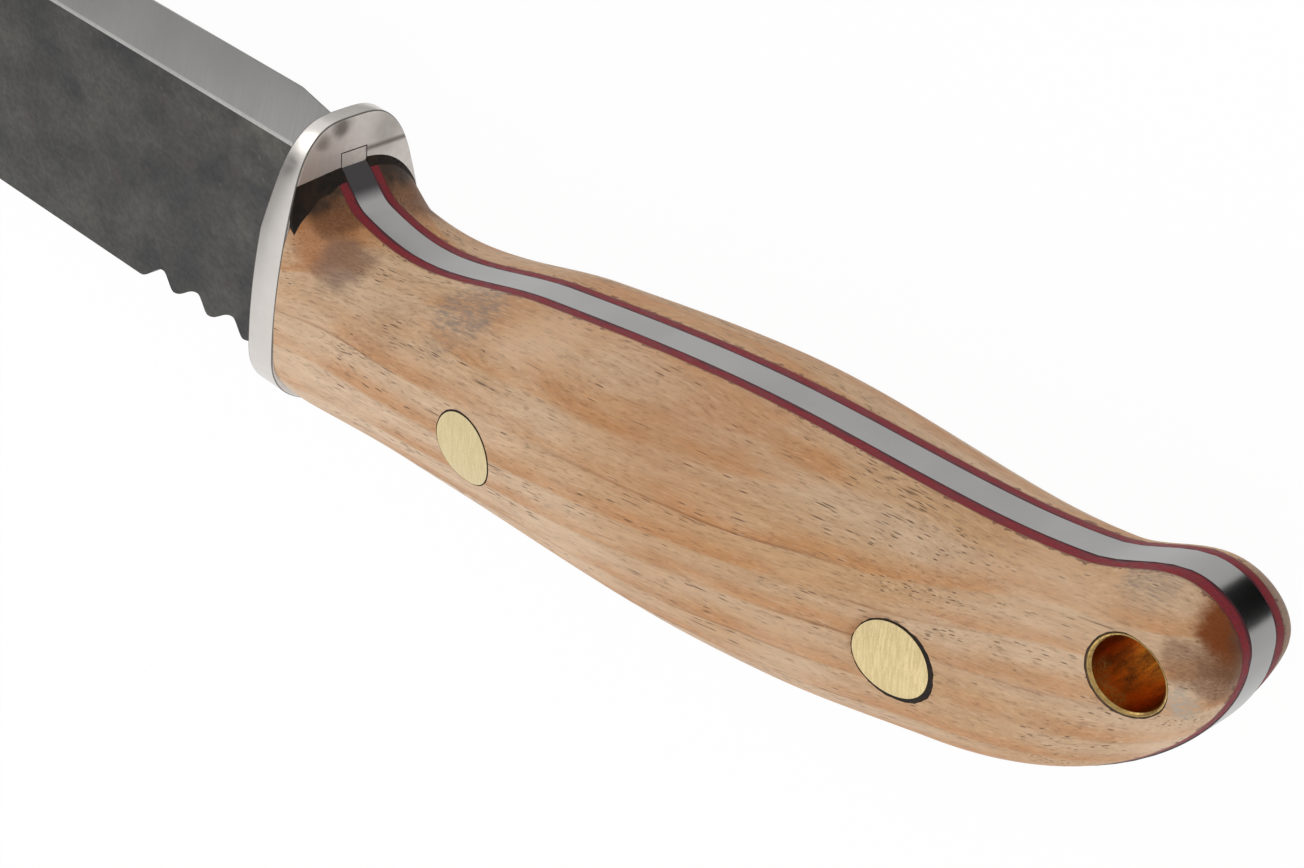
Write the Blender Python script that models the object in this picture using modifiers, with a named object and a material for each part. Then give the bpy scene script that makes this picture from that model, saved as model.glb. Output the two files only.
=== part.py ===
"""Full-tang bushcraft knife with wood scales on red liners, lying on its left side.

The tip points to +X, the cutting edge faces -Y and the right side faces +Z. All pieces hang on one
empty, whose own axes are the knife's: X runs forward from the rear face of the guard, and Z runs
out from the middle of the steel. "Depth" is measured from the back of the blade towards the edge,
so Y is minus the depth. "Reach" is measured from the rear face of the guard back to the butt,
so X is minus the reach. Metres throughout.
"""

import math

import bmesh
import bpy
import numpy as np
from mathutils import Matrix, Vector
from mathutils.geometry import interpolate_bezier

# Steel
STEEL_THICKNESS = 0.0032
BLADE_LENGTH = 0.130  # front face of the guard to the tip
BLADE_HEIGHT = 0.0343
GRIND_WIDTH = 0.0060  # ground bevel, measured square to the edge
EDGE_THICKNESS = 0.0004
TIP_DEPTH = 0.0110
BACK_SWEEP_LENGTH = 0.060  # the back curves down to the tip over this length
BELLY_LENGTH = 0.062  # the edge curves up to the tip over this length
BELLY_POWER = 2.3
HEEL_LENGTH = 0.0057
HEEL_RELIEF = 0.0013
HEEL_STOP = 0.0024  # steel under the neck that stops against the guard
NOTCH_COUNT = 4
NOTCH_PITCH = 0.0065
NOTCH_WALL = 0.0019  # length of the steeper wall of a notch, on the side of the guard
NOTCH_DEPTH = 0.00245
NOTCH_CREST_DEPTH = 0.0005  # the rounded steel between notches stands this far below the back
NOTCH_START = 0.0081  # front face of the guard to the deepest place of the first notch

# Guard: an egg-shaped plate, wider towards the back
GUARD_THICKNESS = 0.0042
GUARD_HALF_WIDTH = 0.0105
GUARD_WIDEST_DEPTH = 0.0090
GUARD_BACK_DEPTH = 0.0018
GUARD_BACK_POWER = 2.3
GUARD_NARROWING = 0.0026  # how far each flank has drawn in where the finger end starts to round
GUARD_FLANK_POWER = 1.8
GUARD_FINGER_ROUND = 0.0075
GUARD_FINGER_POWER = 3.5
GUARD_WEB = 0.0037  # from the closed end of the slot to the finger end
GUARD_TAPER_LENGTH = 0.0119  # over this the front face leans back to a thinner finger end
GUARD_FINGER_THICKNESS = 0.0022
GUARD_EDGE_ROUND = 0.0005
GUARD_SIDE_STEP = 0.0001  # how far the guard stands out past the grip, at the sides and at the back
GUARD_BACK_STEP = 0.0006
GUARD_FLARE = 1.3  # how fast the grip may swell past the guard's outline behind it

# Grip, seen from the side: depths of the finger side and of the back
GRIP_LENGTH = 0.1152
TANG_STEP = 0.0016  # how far the tang is cut back behind the guard, on the finger side
GUARD_FILLET_REACH = 0.0040
GUARD_FILLET_DEPTH = 0.0254
GROOVE_REACH = 0.0120
GROOVE_DEPTH = 0.0241
SWELL_RISE_REACH = 0.0320
SWELL_RISE_DEPTH = 0.0283
SWELL_REACH = 0.0640
SWELL_DEPTH = 0.0325
WAIST_SETBACK = 0.0270  # setbacks are measured from the butt
WAIST_DEPTH = 0.0336
HOOK_RISE_SETBACK = 0.0165
HOOK_RISE_DEPTH = 0.0350
HOOK_SETBACK = 0.0061
HOOK_DEPTH = 0.0387
BUTT_DEPTH = 0.0332  # middle of the short straight end
BUTT_FLAT = 0.0008
BACK_SHOULDER_REACH = 0.0120
BACK_SHOULDER_DEPTH = 0.0027
BACK_MIDDLE_REACH = 0.0500
BACK_MIDDLE_DEPTH = 0.0041
BACK_FALL_SETBACK = 0.0450
BACK_FALL_DEPTH = 0.0058
BACK_BEND_SETBACK = 0.0270
BACK_BEND_DEPTH = 0.0091
BACK_BEND_SLOPE = 0.20
BACK_BEND_PULL = 0.0160  # how far the round end keeps to that slope
BUTT_PULL = 0.0078  # how far it keeps square to the length

# Grip, seen from above: half widths
FRONT_HALF_REACH = 0.0300
FRONT_HALF_WIDTH = 0.0114
PALM_REACH = 0.0550
PALM_HALF_WIDTH = 0.0124
TAIL_SETBACK = 0.0150
TAIL_HALF_WIDTH = 0.0073
END_HALF_WIDTH = 0.0058  # where the sides would meet the butt if it weren't rounded
BUTT_ROUND_LENGTH = 0.0085
BUTT_ROUND_POWER = 2.7
BUTT_HALF_WIDTH = 0.0030

# Grip sections: a superellipse on each side of the widest line
FRONT_FINGER_POWER = 2.7
FINGER_POWER = 3.0
BACK_POWER = 2.3
FRONT_WIDEST_SHARE = 0.28
WIDEST_SHARE = 0.54
SECTION_BLEND_REACH = 0.018

# Liners, pins and lanyard tube
LINER_THICKNESS = 0.0009
PIN_DIAMETER = 0.0078
FRONT_PIN_REACH = 0.0312
FRONT_PIN_DEPTH = 0.0144
REAR_PIN_SETBACK = 0.0300
REAR_PIN_DEPTH = 0.0196
TUBE_DIAMETER = 0.0076
TUBE_WALL = 0.0006
TUBE_SETBACK = 0.0080
TUBE_DEPTH = 0.0297

# Clearances between touching pieces
GLUE_LINE = 0.00015
BORE_FIT = 0.00015
SLOT_FIT = 0.0002
GRIND_OVERRUN = 0.0001  # the ground bevel runs this far past the shoulder
GRIND_STAGGER = 0.0003  # its stations lie this far behind the outline's points, so no two edges meet
CUTTER_MARGIN = 0.003  # how far a cutter reaches past what it cuts
FILL_SCALE = 1000  # outlines are filled in millimetres, because the fill drops close points
WELD_DISTANCE = 0.000001

# Mesh resolution
SECTION_POINTS = 32
GUARD_END_POINTS = 11
GUARD_FLANK_FACETS = 9
ROUND_SEGMENTS = 32
ARC_POINTS = 24
WAVE_POINTS = 6  # on each wall of a notch
BEND_POINTS = 10
TRACE_POINTS = 200  # along a curve that is only read, not built
GRIP_STATION = 0.005  # distance between sections of the grip
EDGE_ROUND_STEPS = 2
SHARP_ANGLE = math.radians(35)

# Derived places
GUARD_FRONT = GUARD_THICKNESS
NECK_DEPTH = BLADE_HEIGHT - HEEL_RELIEF - HEEL_STOP  # steel inside the slot of the guard
SLOT_DEPTH = NECK_DEPTH + SLOT_FIT
GUARD_DEPTH = SLOT_DEPTH + GUARD_WEB
GUARD_FINGER_START = GUARD_DEPTH - GUARD_FINGER_ROUND
GUARD_BACK_ROUND = GUARD_WIDEST_DEPTH - GUARD_BACK_DEPTH
GUARD_TAPER_DEPTH = GUARD_DEPTH - GUARD_TAPER_LENGTH
TAPER_SLOPE = (GUARD_THICKNESS - GUARD_FINGER_THICKNESS) / GUARD_TAPER_LENGTH
SHOULDER = GUARD_FRONT - TAPER_SLOPE * max(NECK_DEPTH - GUARD_TAPER_DEPTH, 0) + SLOT_FIT
GUARD_END_DEPTH = NECK_DEPTH - TANG_STEP
GUARD_END_HALF_WIDTH = GUARD_HALF_WIDTH - GUARD_SIDE_STEP
BACK_START_DEPTH = GUARD_BACK_DEPTH + GUARD_BACK_STEP
TIP = GUARD_FRONT + BLADE_LENGTH
FIRST_NOTCH = GUARD_FRONT + NOTCH_START
LAST_NOTCH = FIRST_NOTCH + (NOTCH_COUNT - 1) * NOTCH_PITCH
HOOK_REACH = GRIP_LENGTH - HOOK_SETBACK
WAIST_REACH = GRIP_LENGTH - WAIST_SETBACK
BACK_BEND_REACH = GRIP_LENGTH - BACK_BEND_SETBACK
BACK_FALL_REACH = GRIP_LENGTH - BACK_FALL_SETBACK
HOOK_RISE_REACH = GRIP_LENGTH - HOOK_RISE_SETBACK
TAIL_REACH = GRIP_LENGTH - TAIL_SETBACK
HALF_STEEL = STEEL_THICKNESS / 2
LINER_INNER = HALF_STEEL + GLUE_LINE
LINER_OUTER = LINER_INNER + LINER_THICKNESS
SCALE_INNER = LINER_OUTER + GLUE_LINE
WIDEST = max(PALM_HALF_WIDTH, FRONT_HALF_WIDTH, GUARD_HALF_WIDTH)
DEEPEST = max(HOOK_DEPTH, GUARD_DEPTH, BLADE_HEIGHT)

FRONT_PIN = (FRONT_PIN_REACH, FRONT_PIN_DEPTH)
REAR_PIN = (GRIP_LENGTH - REAR_PIN_SETBACK, REAR_PIN_DEPTH)
LANYARD = (GRIP_LENGTH - TUBE_SETBACK, TUBE_DEPTH)


def clear_scene():
    for obj in list(bpy.data.objects):
        bpy.data.objects.remove(obj, do_unlink=True)


def new_collection(name):
    collection = bpy.data.collections.new(name)
    bpy.context.scene.collection.children.link(collection)
    return collection


def new_material(name, colour, roughness, metallic):
    material = bpy.data.materials.new(name)
    material.use_nodes = True
    shader = material.node_tree.nodes["Principled BSDF"]
    shader.inputs["Base Color"].default_value = (*colour, 1.0)
    shader.inputs["Roughness"].default_value = roughness
    shader.inputs["Metallic"].default_value = metallic
    return material


# Curves of the grip


def smooth_through(knots, places):
    """Values at the places, on a smooth curve through the knots that doesn't overshoot them."""
    x, y = np.array(knots, dtype=float).T
    step = np.diff(x)
    secant = np.diff(y) / step
    slope = np.zeros(len(x))
    slope[0], slope[-1] = secant[0], secant[-1]
    for i in range(1, len(x) - 1):
        if secant[i - 1] * secant[i] > 0:
            before = 2 * step[i] + step[i - 1]
            after = step[i] + 2 * step[i - 1]
            slope[i] = (before + after) / (before / secant[i - 1] + after / secant[i])
    places = np.clip(places, x[0], x[-1])
    i = np.clip(np.searchsorted(x, places) - 1, 0, len(step) - 1)
    t = (places - x[i]) / step[i]
    rise = y[i + 1] - y[i]
    start, end = slope[i] * step[i], slope[i + 1] * step[i]
    return y[i] + t * (start + t * (3 * rise - 2 * start - end + t * (start + end - 2 * rise)))


def quarter_round(share, power=2):
    """Falls from 1 to 0 as the share runs from 0 to 1, like a quarter of an ellipse."""
    return (1 - np.clip(share, 0, 1) ** power) ** (1 / power)


def finger_depth(reach):
    butt = BUTT_DEPTH + BUTT_FLAT / 2
    knots = [
        (0, GUARD_END_DEPTH),
        (GUARD_FILLET_REACH, GUARD_FILLET_DEPTH),
        (GROOVE_REACH, GROOVE_DEPTH),
        (SWELL_RISE_REACH, SWELL_RISE_DEPTH),
        (SWELL_REACH, SWELL_DEPTH),
        (WAIST_REACH, WAIST_DEPTH),
        (HOOK_RISE_REACH, HOOK_RISE_DEPTH),
        (HOOK_REACH, HOOK_DEPTH),
        (GRIP_LENGTH, butt),
    ]
    past_hook = butt + (HOOK_DEPTH - butt) * quarter_round((reach - HOOK_REACH) / HOOK_SETBACK)
    return np.where(reach < HOOK_REACH, smooth_through(knots, reach), past_hook)


def back_depth(reach):
    knots = [
        (0, BACK_START_DEPTH),
        (BACK_SHOULDER_REACH, BACK_SHOULDER_DEPTH),
        (BACK_MIDDLE_REACH, BACK_MIDDLE_DEPTH),
        (BACK_FALL_REACH, BACK_FALL_DEPTH),
        (BACK_BEND_REACH, BACK_BEND_DEPTH),
    ]
    bend = Vector((BACK_BEND_REACH, BACK_BEND_DEPTH))
    butt = Vector((GRIP_LENGTH, BUTT_DEPTH - BUTT_FLAT / 2))
    pull = Vector((BACK_BEND_PULL, BACK_BEND_PULL * BACK_BEND_SLOPE))
    round_end = interpolate_bezier(bend, bend + pull, butt - Vector((0, BUTT_PULL)), butt, TRACE_POINTS)
    past_bend = np.interp(reach, *zip(*round_end))
    return np.where(reach < BACK_BEND_REACH, smooth_through(knots, reach), past_bend)


def half_width(reach):
    knots = [
        (0, GUARD_END_HALF_WIDTH),
        (FRONT_HALF_REACH, FRONT_HALF_WIDTH),
        (PALM_REACH, PALM_HALF_WIDTH),
        (TAIL_REACH, TAIL_HALF_WIDTH),
        (GRIP_LENGTH, END_HALF_WIDTH),
    ]
    full = smooth_through(knots, reach)
    past_start = (reach - GRIP_LENGTH + BUTT_ROUND_LENGTH) / BUTT_ROUND_LENGTH
    return BUTT_HALF_WIDTH + (full - BUTT_HALF_WIDTH) * quarter_round(past_start, BUTT_ROUND_POWER)


def blend_behind_guard(front, rest, reach):
    share = np.clip(reach / SECTION_BLEND_REACH, 0, 1)
    return front + (rest - front) * share * share * (3 - 2 * share)


def guard_half_width(depth):
    """Half width of the guard at a depth: round ends, and flanks that draw in towards the fingers."""
    past_widest = np.maximum(depth - GUARD_WIDEST_DEPTH, 0) / (GUARD_FINGER_START - GUARD_WIDEST_DEPTH)
    flank = GUARD_HALF_WIDTH - GUARD_NARROWING * past_widest**GUARD_FLANK_POWER
    back_end = quarter_round((GUARD_WIDEST_DEPTH - depth) / GUARD_BACK_ROUND, GUARD_BACK_POWER)
    finger_end = quarter_round((depth - GUARD_FINGER_START) / GUARD_FINGER_ROUND, GUARD_FINGER_POWER)
    return flank * back_end * finger_end


def grip_section(reach):
    """Depths and heights around the grip at one reach: a superellipse on each side of its widest line."""
    finger, back = finger_depth(reach), back_depth(reach)
    widest = back + (finger - back) * blend_behind_guard(FRONT_WIDEST_SHARE, WIDEST_SHARE, reach)
    finger_power = blend_behind_guard(FRONT_FINGER_POWER, FINGER_POWER, reach)
    turn = 2 * math.pi * np.arange(SECTION_POINTS) / SECTION_POINTS
    towards_finger, sideways = np.cos(turn), np.sin(turn)
    power = np.where(towards_finger > 0, finger_power, BACK_POWER)
    side = np.where(towards_finger > 0, finger, back) - widest
    depth = widest + side * np.abs(towards_finger) ** (2 / power)
    height = half_width(reach) * np.sign(sideways) * np.abs(sideways) ** (2 / power)
    most = guard_half_width(depth) - GUARD_SIDE_STEP + GUARD_FLARE * reach
    return depth, np.clip(height, -most, most)


def run(start, end, station):
    """Even places from the start up to the end, without the end."""
    return np.linspace(start, end, 1 + math.ceil((end - start) / station))[:-1]


def grip_reaches():
    """Stations along the grip: close in the groove, then even, then closing up to the butt."""
    groove = run(0, GROOVE_REACH, GRIP_STATION / 3)
    front = run(GROOVE_REACH, PALM_REACH, GRIP_STATION)
    rear = run(PALM_REACH, HOOK_REACH, GRIP_STATION)
    turn = np.linspace(0, math.pi / 2, BEND_POINTS)
    return np.concatenate([groove, front, rear, HOOK_REACH + HOOK_SETBACK * np.sin(turn)])


# Mesh helpers


def place(obj, collection, material=None, hidden=False):
    collection.objects.link(obj)
    obj.parent = knife
    obj.hide_render = hidden
    if hidden:
        obj.display_type = "WIRE"
    if material:
        obj.data.materials.append(material)
    return obj


def mesh_object(name, mesh_data, collection, material=None, hidden=False):
    mesh = bpy.data.meshes.new(name)
    bmesh.ops.recalc_face_normals(mesh_data, faces=mesh_data.faces)
    mesh_data.to_mesh(mesh)
    mesh_data.free()
    return place(bpy.data.objects.new(name, mesh), collection, material, hidden)


def loft(rings):
    """A closed solid through rings that have equal numbers of points."""
    solid = bmesh.new()
    loops = [[solid.verts.new(point) for point in ring] for ring in rings]
    for loop, following in zip(loops, loops[1:]):
        for i in range(len(loop)):
            j = (i + 1) % len(loop)
            solid.faces.new((loop[i], loop[j], following[j], following[i]))
    solid.faces.new(loops[0])
    solid.faces.new(loops[-1])
    return solid


def block(low, high):
    solid = bmesh.new()
    bmesh.ops.create_cube(solid, size=1)
    low, high = Vector(low), Vector(high)
    bmesh.ops.scale(solid, vec=high - low, verts=solid.verts)
    bmesh.ops.translate(solid, vec=(low + high) / 2, verts=solid.verts)
    return solid


def grip_rod(where, radius):
    """An upright cylinder through the whole grip."""
    reach, depth = where
    solid = bmesh.new()
    bmesh.ops.create_cone(
        solid,
        cap_ends=True,
        segments=ROUND_SEGMENTS,
        radius1=radius,
        radius2=radius,
        depth=2 * (WIDEST + CUTTER_MARGIN),
        matrix=Matrix.Translation((-reach, -depth, 0)),
    )
    return solid


def plate_from_outline(name, points, thickness, collection, material):
    """A flat outline, filled and extruded, as a welded mesh lying in its own XY plane."""
    curve = bpy.data.curves.new(name, "CURVE")
    curve.dimensions = "2D"
    curve.fill_mode = "BOTH"
    curve.extrude = FILL_SCALE * thickness / 2
    spline = curve.splines.new("POLY")
    spline.points.add(len(points) - 1)
    for point, (x, y) in zip(spline.points, points):
        point.co = (FILL_SCALE * x, FILL_SCALE * y, 0, 1)
    spline.use_cyclic_u = True
    guide = bpy.data.objects.new(name + "_guide", curve)
    bpy.context.scene.collection.objects.link(guide)
    graph = bpy.context.evaluated_depsgraph_get()
    mesh = bpy.data.meshes.new_from_object(guide.evaluated_get(graph))
    bpy.data.objects.remove(guide, do_unlink=True)
    bpy.data.curves.remove(curve)
    welded = bmesh.new()
    welded.from_mesh(mesh)
    bpy.data.meshes.remove(mesh)
    bmesh.ops.scale(welded, vec=Vector((1, 1, 1)) / FILL_SCALE, verts=welded.verts)
    bmesh.ops.remove_doubles(welded, verts=welded.verts, dist=WELD_DISTANCE)
    return mesh_object(name, welded, collection, material)


def boolean(obj, operation, other):
    modifier = obj.modifiers.new(operation.lower() + "_" + other.name, "BOOLEAN")
    modifier.operation = operation
    modifier.solver = "EXACT"
    modifier.object = other


def shade_round(obj):
    obj.data.shade_smooth()
    obj.data.set_sharp_from_angle(angle=SHARP_ANGLE)


# Outlines


def back_of_blade(x):
    share = np.clip((x - TIP + BACK_SWEEP_LENGTH) / BACK_SWEEP_LENGTH, 0, 1)
    return TIP_DEPTH * share * share


def notched_back(x):
    """A wave that is steeper on the guard's side, and whose last ramp comes up to the plain back."""
    crest = NOTCH_CREST_DEPTH if x < LAST_NOTCH else 0
    past_crest = (x - FIRST_NOTCH + NOTCH_WALL) % NOTCH_PITCH
    if past_crest < NOTCH_WALL:
        share = past_crest / NOTCH_WALL
    else:
        share = (NOTCH_PITCH - past_crest) / (NOTCH_PITCH - NOTCH_WALL)
    return crest + (NOTCH_DEPTH - crest) * (1 - math.cos(math.pi * share)) / 2


def notch_places():
    """Places along the notches, from the crest near the guard to the plain back."""
    wall = np.linspace(0, NOTCH_WALL, WAVE_POINTS)[:-1]
    ramp = np.linspace(NOTCH_WALL, NOTCH_PITCH, WAVE_POINTS)[:-1]
    crests = FIRST_NOTCH - NOTCH_WALL + NOTCH_PITCH * np.arange(NOTCH_COUNT + 1)
    return [crest + place for crest in crests[:-1] for place in (*wall, *ramp)] + [crests[-1]]


def edge_of_blade(x):
    belly = np.clip((x - TIP + BELLY_LENGTH) / BELLY_LENGTH, 0, 1) ** BELLY_POWER
    heel = np.clip((SHOULDER + HEEL_LENGTH - x) / HEEL_LENGTH, 0, 1)
    return BLADE_HEIGHT - (BLADE_HEIGHT - TIP_DEPTH) * belly - HEEL_RELIEF * heel


def belly_places():
    """Places along the edge from the tip back to the shoulder at the guard."""
    belly = np.linspace(TIP, TIP - BELLY_LENGTH, ARC_POINTS)
    return np.concatenate([belly, [SHOULDER + HEEL_LENGTH, SHOULDER]])


def steel_outline():
    """Side view of blade and tang in one: back, tip, edge, neck in the guard, tang, butt."""
    sweep = np.linspace(TIP - BACK_SWEEP_LENGTH, TIP, BEND_POINTS)[:-1]
    outline = [(0, -NOTCH_CREST_DEPTH)]
    outline += [(x, -notched_back(x)) for x in notch_places()]
    outline += [(x, -back_of_blade(x)) for x in sweep]
    outline += [(x, -edge_of_blade(x)) for x in belly_places()]
    outline += [(SHOULDER, -NECK_DEPTH), (0, -NECK_DEPTH)]
    reaches = grip_reaches()
    outline += [(-reach, -finger_depth(reach)) for reach in reaches]
    outline += [(-reach, -back_depth(reach)) for reach in reaches[::-1]]
    return outline


def guard_outline():
    """The guard as seen along the knife: widths, and depths from the back."""
    turn = np.linspace(0, math.pi / 2, GUARD_END_POINTS)
    back_end = GUARD_WIDEST_DEPTH - GUARD_BACK_ROUND * np.cos(turn) ** (2 / GUARD_BACK_POWER)
    flank = np.linspace(GUARD_WIDEST_DEPTH, GUARD_FINGER_START, GUARD_FLANK_FACETS + 1)
    finger_end = GUARD_FINGER_START + GUARD_FINGER_ROUND * np.sin(turn) ** (2 / GUARD_FINGER_POWER)
    depths = np.concatenate([back_end, flank[1:-1], finger_end])
    one_side = [(width, -depth) for width, depth in zip(guard_half_width(depths), depths)]
    return one_side + [(-width, y) for width, y in one_side[-2:0:-1]]


# Pieces


def make_grip_form():
    """The outside of the whole grip, to which the layers and pins are shaped together."""
    rings = []
    for reach in grip_reaches():
        depth, height = grip_section(reach)
        rings.append([(-reach, -d, h) for d, h in zip(depth, height)])
    front = [(CUTTER_MARGIN, y, z) for _, y, z in rings[0]]
    return mesh_object("grip_form", loft([front] + rings), cutters, hidden=True)


def make_bevel_cutter(side):
    """What the grinder takes off one side of the edge, swept along the edge."""
    fall = (HALF_STEEL - EDGE_THICKNESS / 2) / GRIND_WIDTH
    outside, inside = -CUTTER_MARGIN, GRIND_WIDTH + CUTTER_MARGIN
    above = HALF_STEEL + CUTTER_MARGIN
    profile = [
        (outside, EDGE_THICKNESS / 2 + fall * outside),
        (inside, EDGE_THICKNESS / 2 + fall * inside),
        (inside, above),
        (outside, above),
    ]
    places = np.append(belly_places()[:-1] - GRIND_STAGGER, SHOULDER - GRIND_OVERRUN)
    along = [Vector((x, -edge_of_blade(x), 0)) for x in places]
    past_tip = along[0] + (along[0] - along[1]).normalized() * CUTTER_MARGIN
    along = [past_tip] + along
    rings = []
    for i, point in enumerate(along):
        ahead = along[max(i - 1, 0)] - along[min(i + 1, len(along) - 1)]
        inward = Vector((-ahead.y, ahead.x, 0)).normalized()
        if i == len(along) - 1:
            inward = Vector((0, 1, 0))
        rings.append([point + inward * n + Vector((0, 0, side * z)) for n, z in profile])
    return mesh_object("bevel_cutter", loft(rings), cutters, hidden=True)


def make_bores():
    sizes = [(FRONT_PIN, PIN_DIAMETER), (REAR_PIN, PIN_DIAMETER), (LANYARD, TUBE_DIAMETER)]
    bores = []
    for where, diameter in sizes:
        solid = grip_rod(where, diameter / 2 + BORE_FIT)
        bores.append(mesh_object("bore_cutter", solid, cutters, hidden=True))
    return bores


def make_blade():
    steel = new_material("forged_steel", (0.09, 0.088, 0.085), 0.45, 1.0)
    blade = plate_from_outline("blade", steel_outline(), STEEL_THICKNESS, parts, steel)
    for side in (1, -1):
        boolean(blade, "DIFFERENCE", make_bevel_cutter(side))
    for bore in bores:
        boolean(blade, "DIFFERENCE", bore)
    shade_round(blade)


def make_guard_blank(material):
    """The guard before it is slotted: a plate whose front face leans back at the finger end."""
    plate = plate_from_outline("finger_guard", guard_outline(), GUARD_THICKNESS, parts, material)
    stand = Matrix.Translation((GUARD_THICKNESS / 2, 0, 0)) @ Matrix.Rotation(math.pi / 2, 4, "Y")
    plate.data.transform(stand)
    blank = bmesh.new()
    blank.from_mesh(plate.data)
    lean = Vector((1, -TAPER_SLOPE, 0))
    cut = bmesh.ops.bisect_plane(
        blank,
        geom=list(blank.verts) + list(blank.edges) + list(blank.faces),
        plane_co=(GUARD_FRONT, -GUARD_TAPER_DEPTH, 0),
        plane_no=lean,
        clear_outer=True,
    )
    rim = [part for part in cut["geom_cut"] if isinstance(part, bmesh.types.BMEdge) and part.is_boundary]
    bmesh.ops.contextual_create(blank, geom=rim)
    bmesh.ops.recalc_face_normals(blank, faces=blank.faces)
    blank.to_mesh(plate.data)
    blank.free()
    return plate


def make_guard():
    satin = new_material("satin_steel", (0.58, 0.56, 0.55), 0.28, 1.0)
    guard = make_guard_blank(satin)
    bevel = guard.modifiers.new("edge_round", "BEVEL")
    bevel.width = GUARD_EDGE_ROUND
    bevel.segments = EDGE_ROUND_STEPS
    bevel.limit_method = "ANGLE"
    bevel.angle_limit = SHARP_ANGLE
    half_slot = HALF_STEEL + SLOT_FIT
    slot = block(
        (-CUTTER_MARGIN, -SLOT_DEPTH, -half_slot),
        (GUARD_THICKNESS + CUTTER_MARGIN, CUTTER_MARGIN, half_slot),
    )
    boolean(guard, "DIFFERENCE", mesh_object("slot_cutter", slot, cutters, hidden=True))
    shade_round(guard)


def make_layer(name, inner, outer, side, material):
    """A slab beside the tang, shaped to the grip and bored for pins and tube."""
    low, high = sorted((side * inner, side * outer))
    solid = block(
        (-GRIP_LENGTH - CUTTER_MARGIN, -DEEPEST - CUTTER_MARGIN, low),
        (-GLUE_LINE, CUTTER_MARGIN, high),
    )
    layer = mesh_object(name, solid, parts, material)
    boolean(layer, "INTERSECT", grip_form)
    for bore in bores:
        boolean(layer, "DIFFERENCE", bore)
    shade_round(layer)


def make_pin(name, where, material):
    pin = mesh_object(name, grip_rod(where, PIN_DIAMETER / 2), parts, material)
    boolean(pin, "INTERSECT", grip_form)
    shade_round(pin)


def make_tube(material):
    tube = mesh_object("lanyard_tube", grip_rod(LANYARD, TUBE_DIAMETER / 2), parts, material)
    boolean(tube, "INTERSECT", grip_form)
    inside = grip_rod(LANYARD, TUBE_DIAMETER / 2 - TUBE_WALL)
    boolean(tube, "DIFFERENCE", mesh_object("tube_cutter", inside, cutters, hidden=True))
    shade_round(tube)


clear_scene()
parts = new_collection("bushcraft_knife")
cutters = new_collection("cutters")

# The knife lies on its widest side, with its box centred over the origin
knife = bpy.data.objects.new("knife", None)
parts.objects.link(knife)
knife.location = (-(TIP - GRIP_LENGTH) / 2, DEEPEST / 2, WIDEST)

grip_form = make_grip_form()
bores = make_bores()
make_blade()
make_guard()

fibre = new_material("red_fibre", (0.20, 0.035, 0.042), 0.6, 0.0)
wood = new_material("oiled_wood", (0.57, 0.37, 0.24), 0.5, 0.0)
brass = new_material("brass", (0.69, 0.57, 0.33), 0.35, 1.0)
for side_name, side in (("right", 1), ("left", -1)):
    make_layer(side_name + "_liner", LINER_INNER, LINER_OUTER, side, fibre)
    make_layer(side_name + "_scale", SCALE_INNER, WIDEST + CUTTER_MARGIN, side, wood)
make_pin("front_pin", FRONT_PIN, brass)
make_pin("rear_pin", REAR_PIN, brass)
make_tube(brass)
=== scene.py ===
# %% [markdown]
# # A bushcraft knife, dressed piece by piece
#
# The frame holds the knife at its real size: one bar of steel that is blade and tang in one, a steel
# guard, two red liners, two wood scales, two brass pins and a brass tube. This lesson gives each of
# them a fine shape and a finish. Every new piece stands exactly where its plain solid stands, so
# nothing has to be fitted by eye. Lengths are in metres. The knife lies on its left side, with its tip
# to +X, its edge to -Y and its right side up.

# %% Load the frame
import math

import bmesh
import bpy
import numpy as np
from mathutils import Matrix, Vector
from mathutils.geometry import interpolate_bezier


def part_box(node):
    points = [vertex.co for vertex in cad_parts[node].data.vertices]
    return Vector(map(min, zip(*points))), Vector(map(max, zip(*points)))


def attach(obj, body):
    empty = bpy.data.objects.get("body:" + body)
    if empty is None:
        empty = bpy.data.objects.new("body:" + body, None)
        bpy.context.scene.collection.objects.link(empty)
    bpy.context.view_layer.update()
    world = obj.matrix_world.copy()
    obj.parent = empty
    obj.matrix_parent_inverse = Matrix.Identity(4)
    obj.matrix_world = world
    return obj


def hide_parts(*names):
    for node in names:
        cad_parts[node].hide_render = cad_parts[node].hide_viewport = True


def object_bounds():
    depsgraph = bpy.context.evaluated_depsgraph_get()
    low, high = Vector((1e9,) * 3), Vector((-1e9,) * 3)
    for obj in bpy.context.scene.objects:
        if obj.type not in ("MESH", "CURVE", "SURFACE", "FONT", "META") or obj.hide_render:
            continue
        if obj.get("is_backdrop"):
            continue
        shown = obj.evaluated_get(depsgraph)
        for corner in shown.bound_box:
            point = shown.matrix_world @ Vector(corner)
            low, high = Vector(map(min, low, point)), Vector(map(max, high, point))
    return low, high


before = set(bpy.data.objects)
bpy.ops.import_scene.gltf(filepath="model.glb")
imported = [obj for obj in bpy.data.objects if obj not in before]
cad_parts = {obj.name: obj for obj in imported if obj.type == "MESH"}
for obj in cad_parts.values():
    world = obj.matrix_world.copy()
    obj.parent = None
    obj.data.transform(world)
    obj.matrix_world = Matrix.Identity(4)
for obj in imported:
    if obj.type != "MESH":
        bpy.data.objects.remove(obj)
cad_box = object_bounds()
print("solids:", ", ".join(sorted(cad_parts)))

# %% [markdown]
# ## The knife's own axes
#
# A knife maker measures from the guard: how far back along the grip ("reach"), and how far from the
# back of the blade towards the edge ("depth"). The seat is the point where the rear face of the guard,
# the straight back and the middle of the steel meet. All shapes below are drawn around the seat and
# moved to it at the very end.

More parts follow.
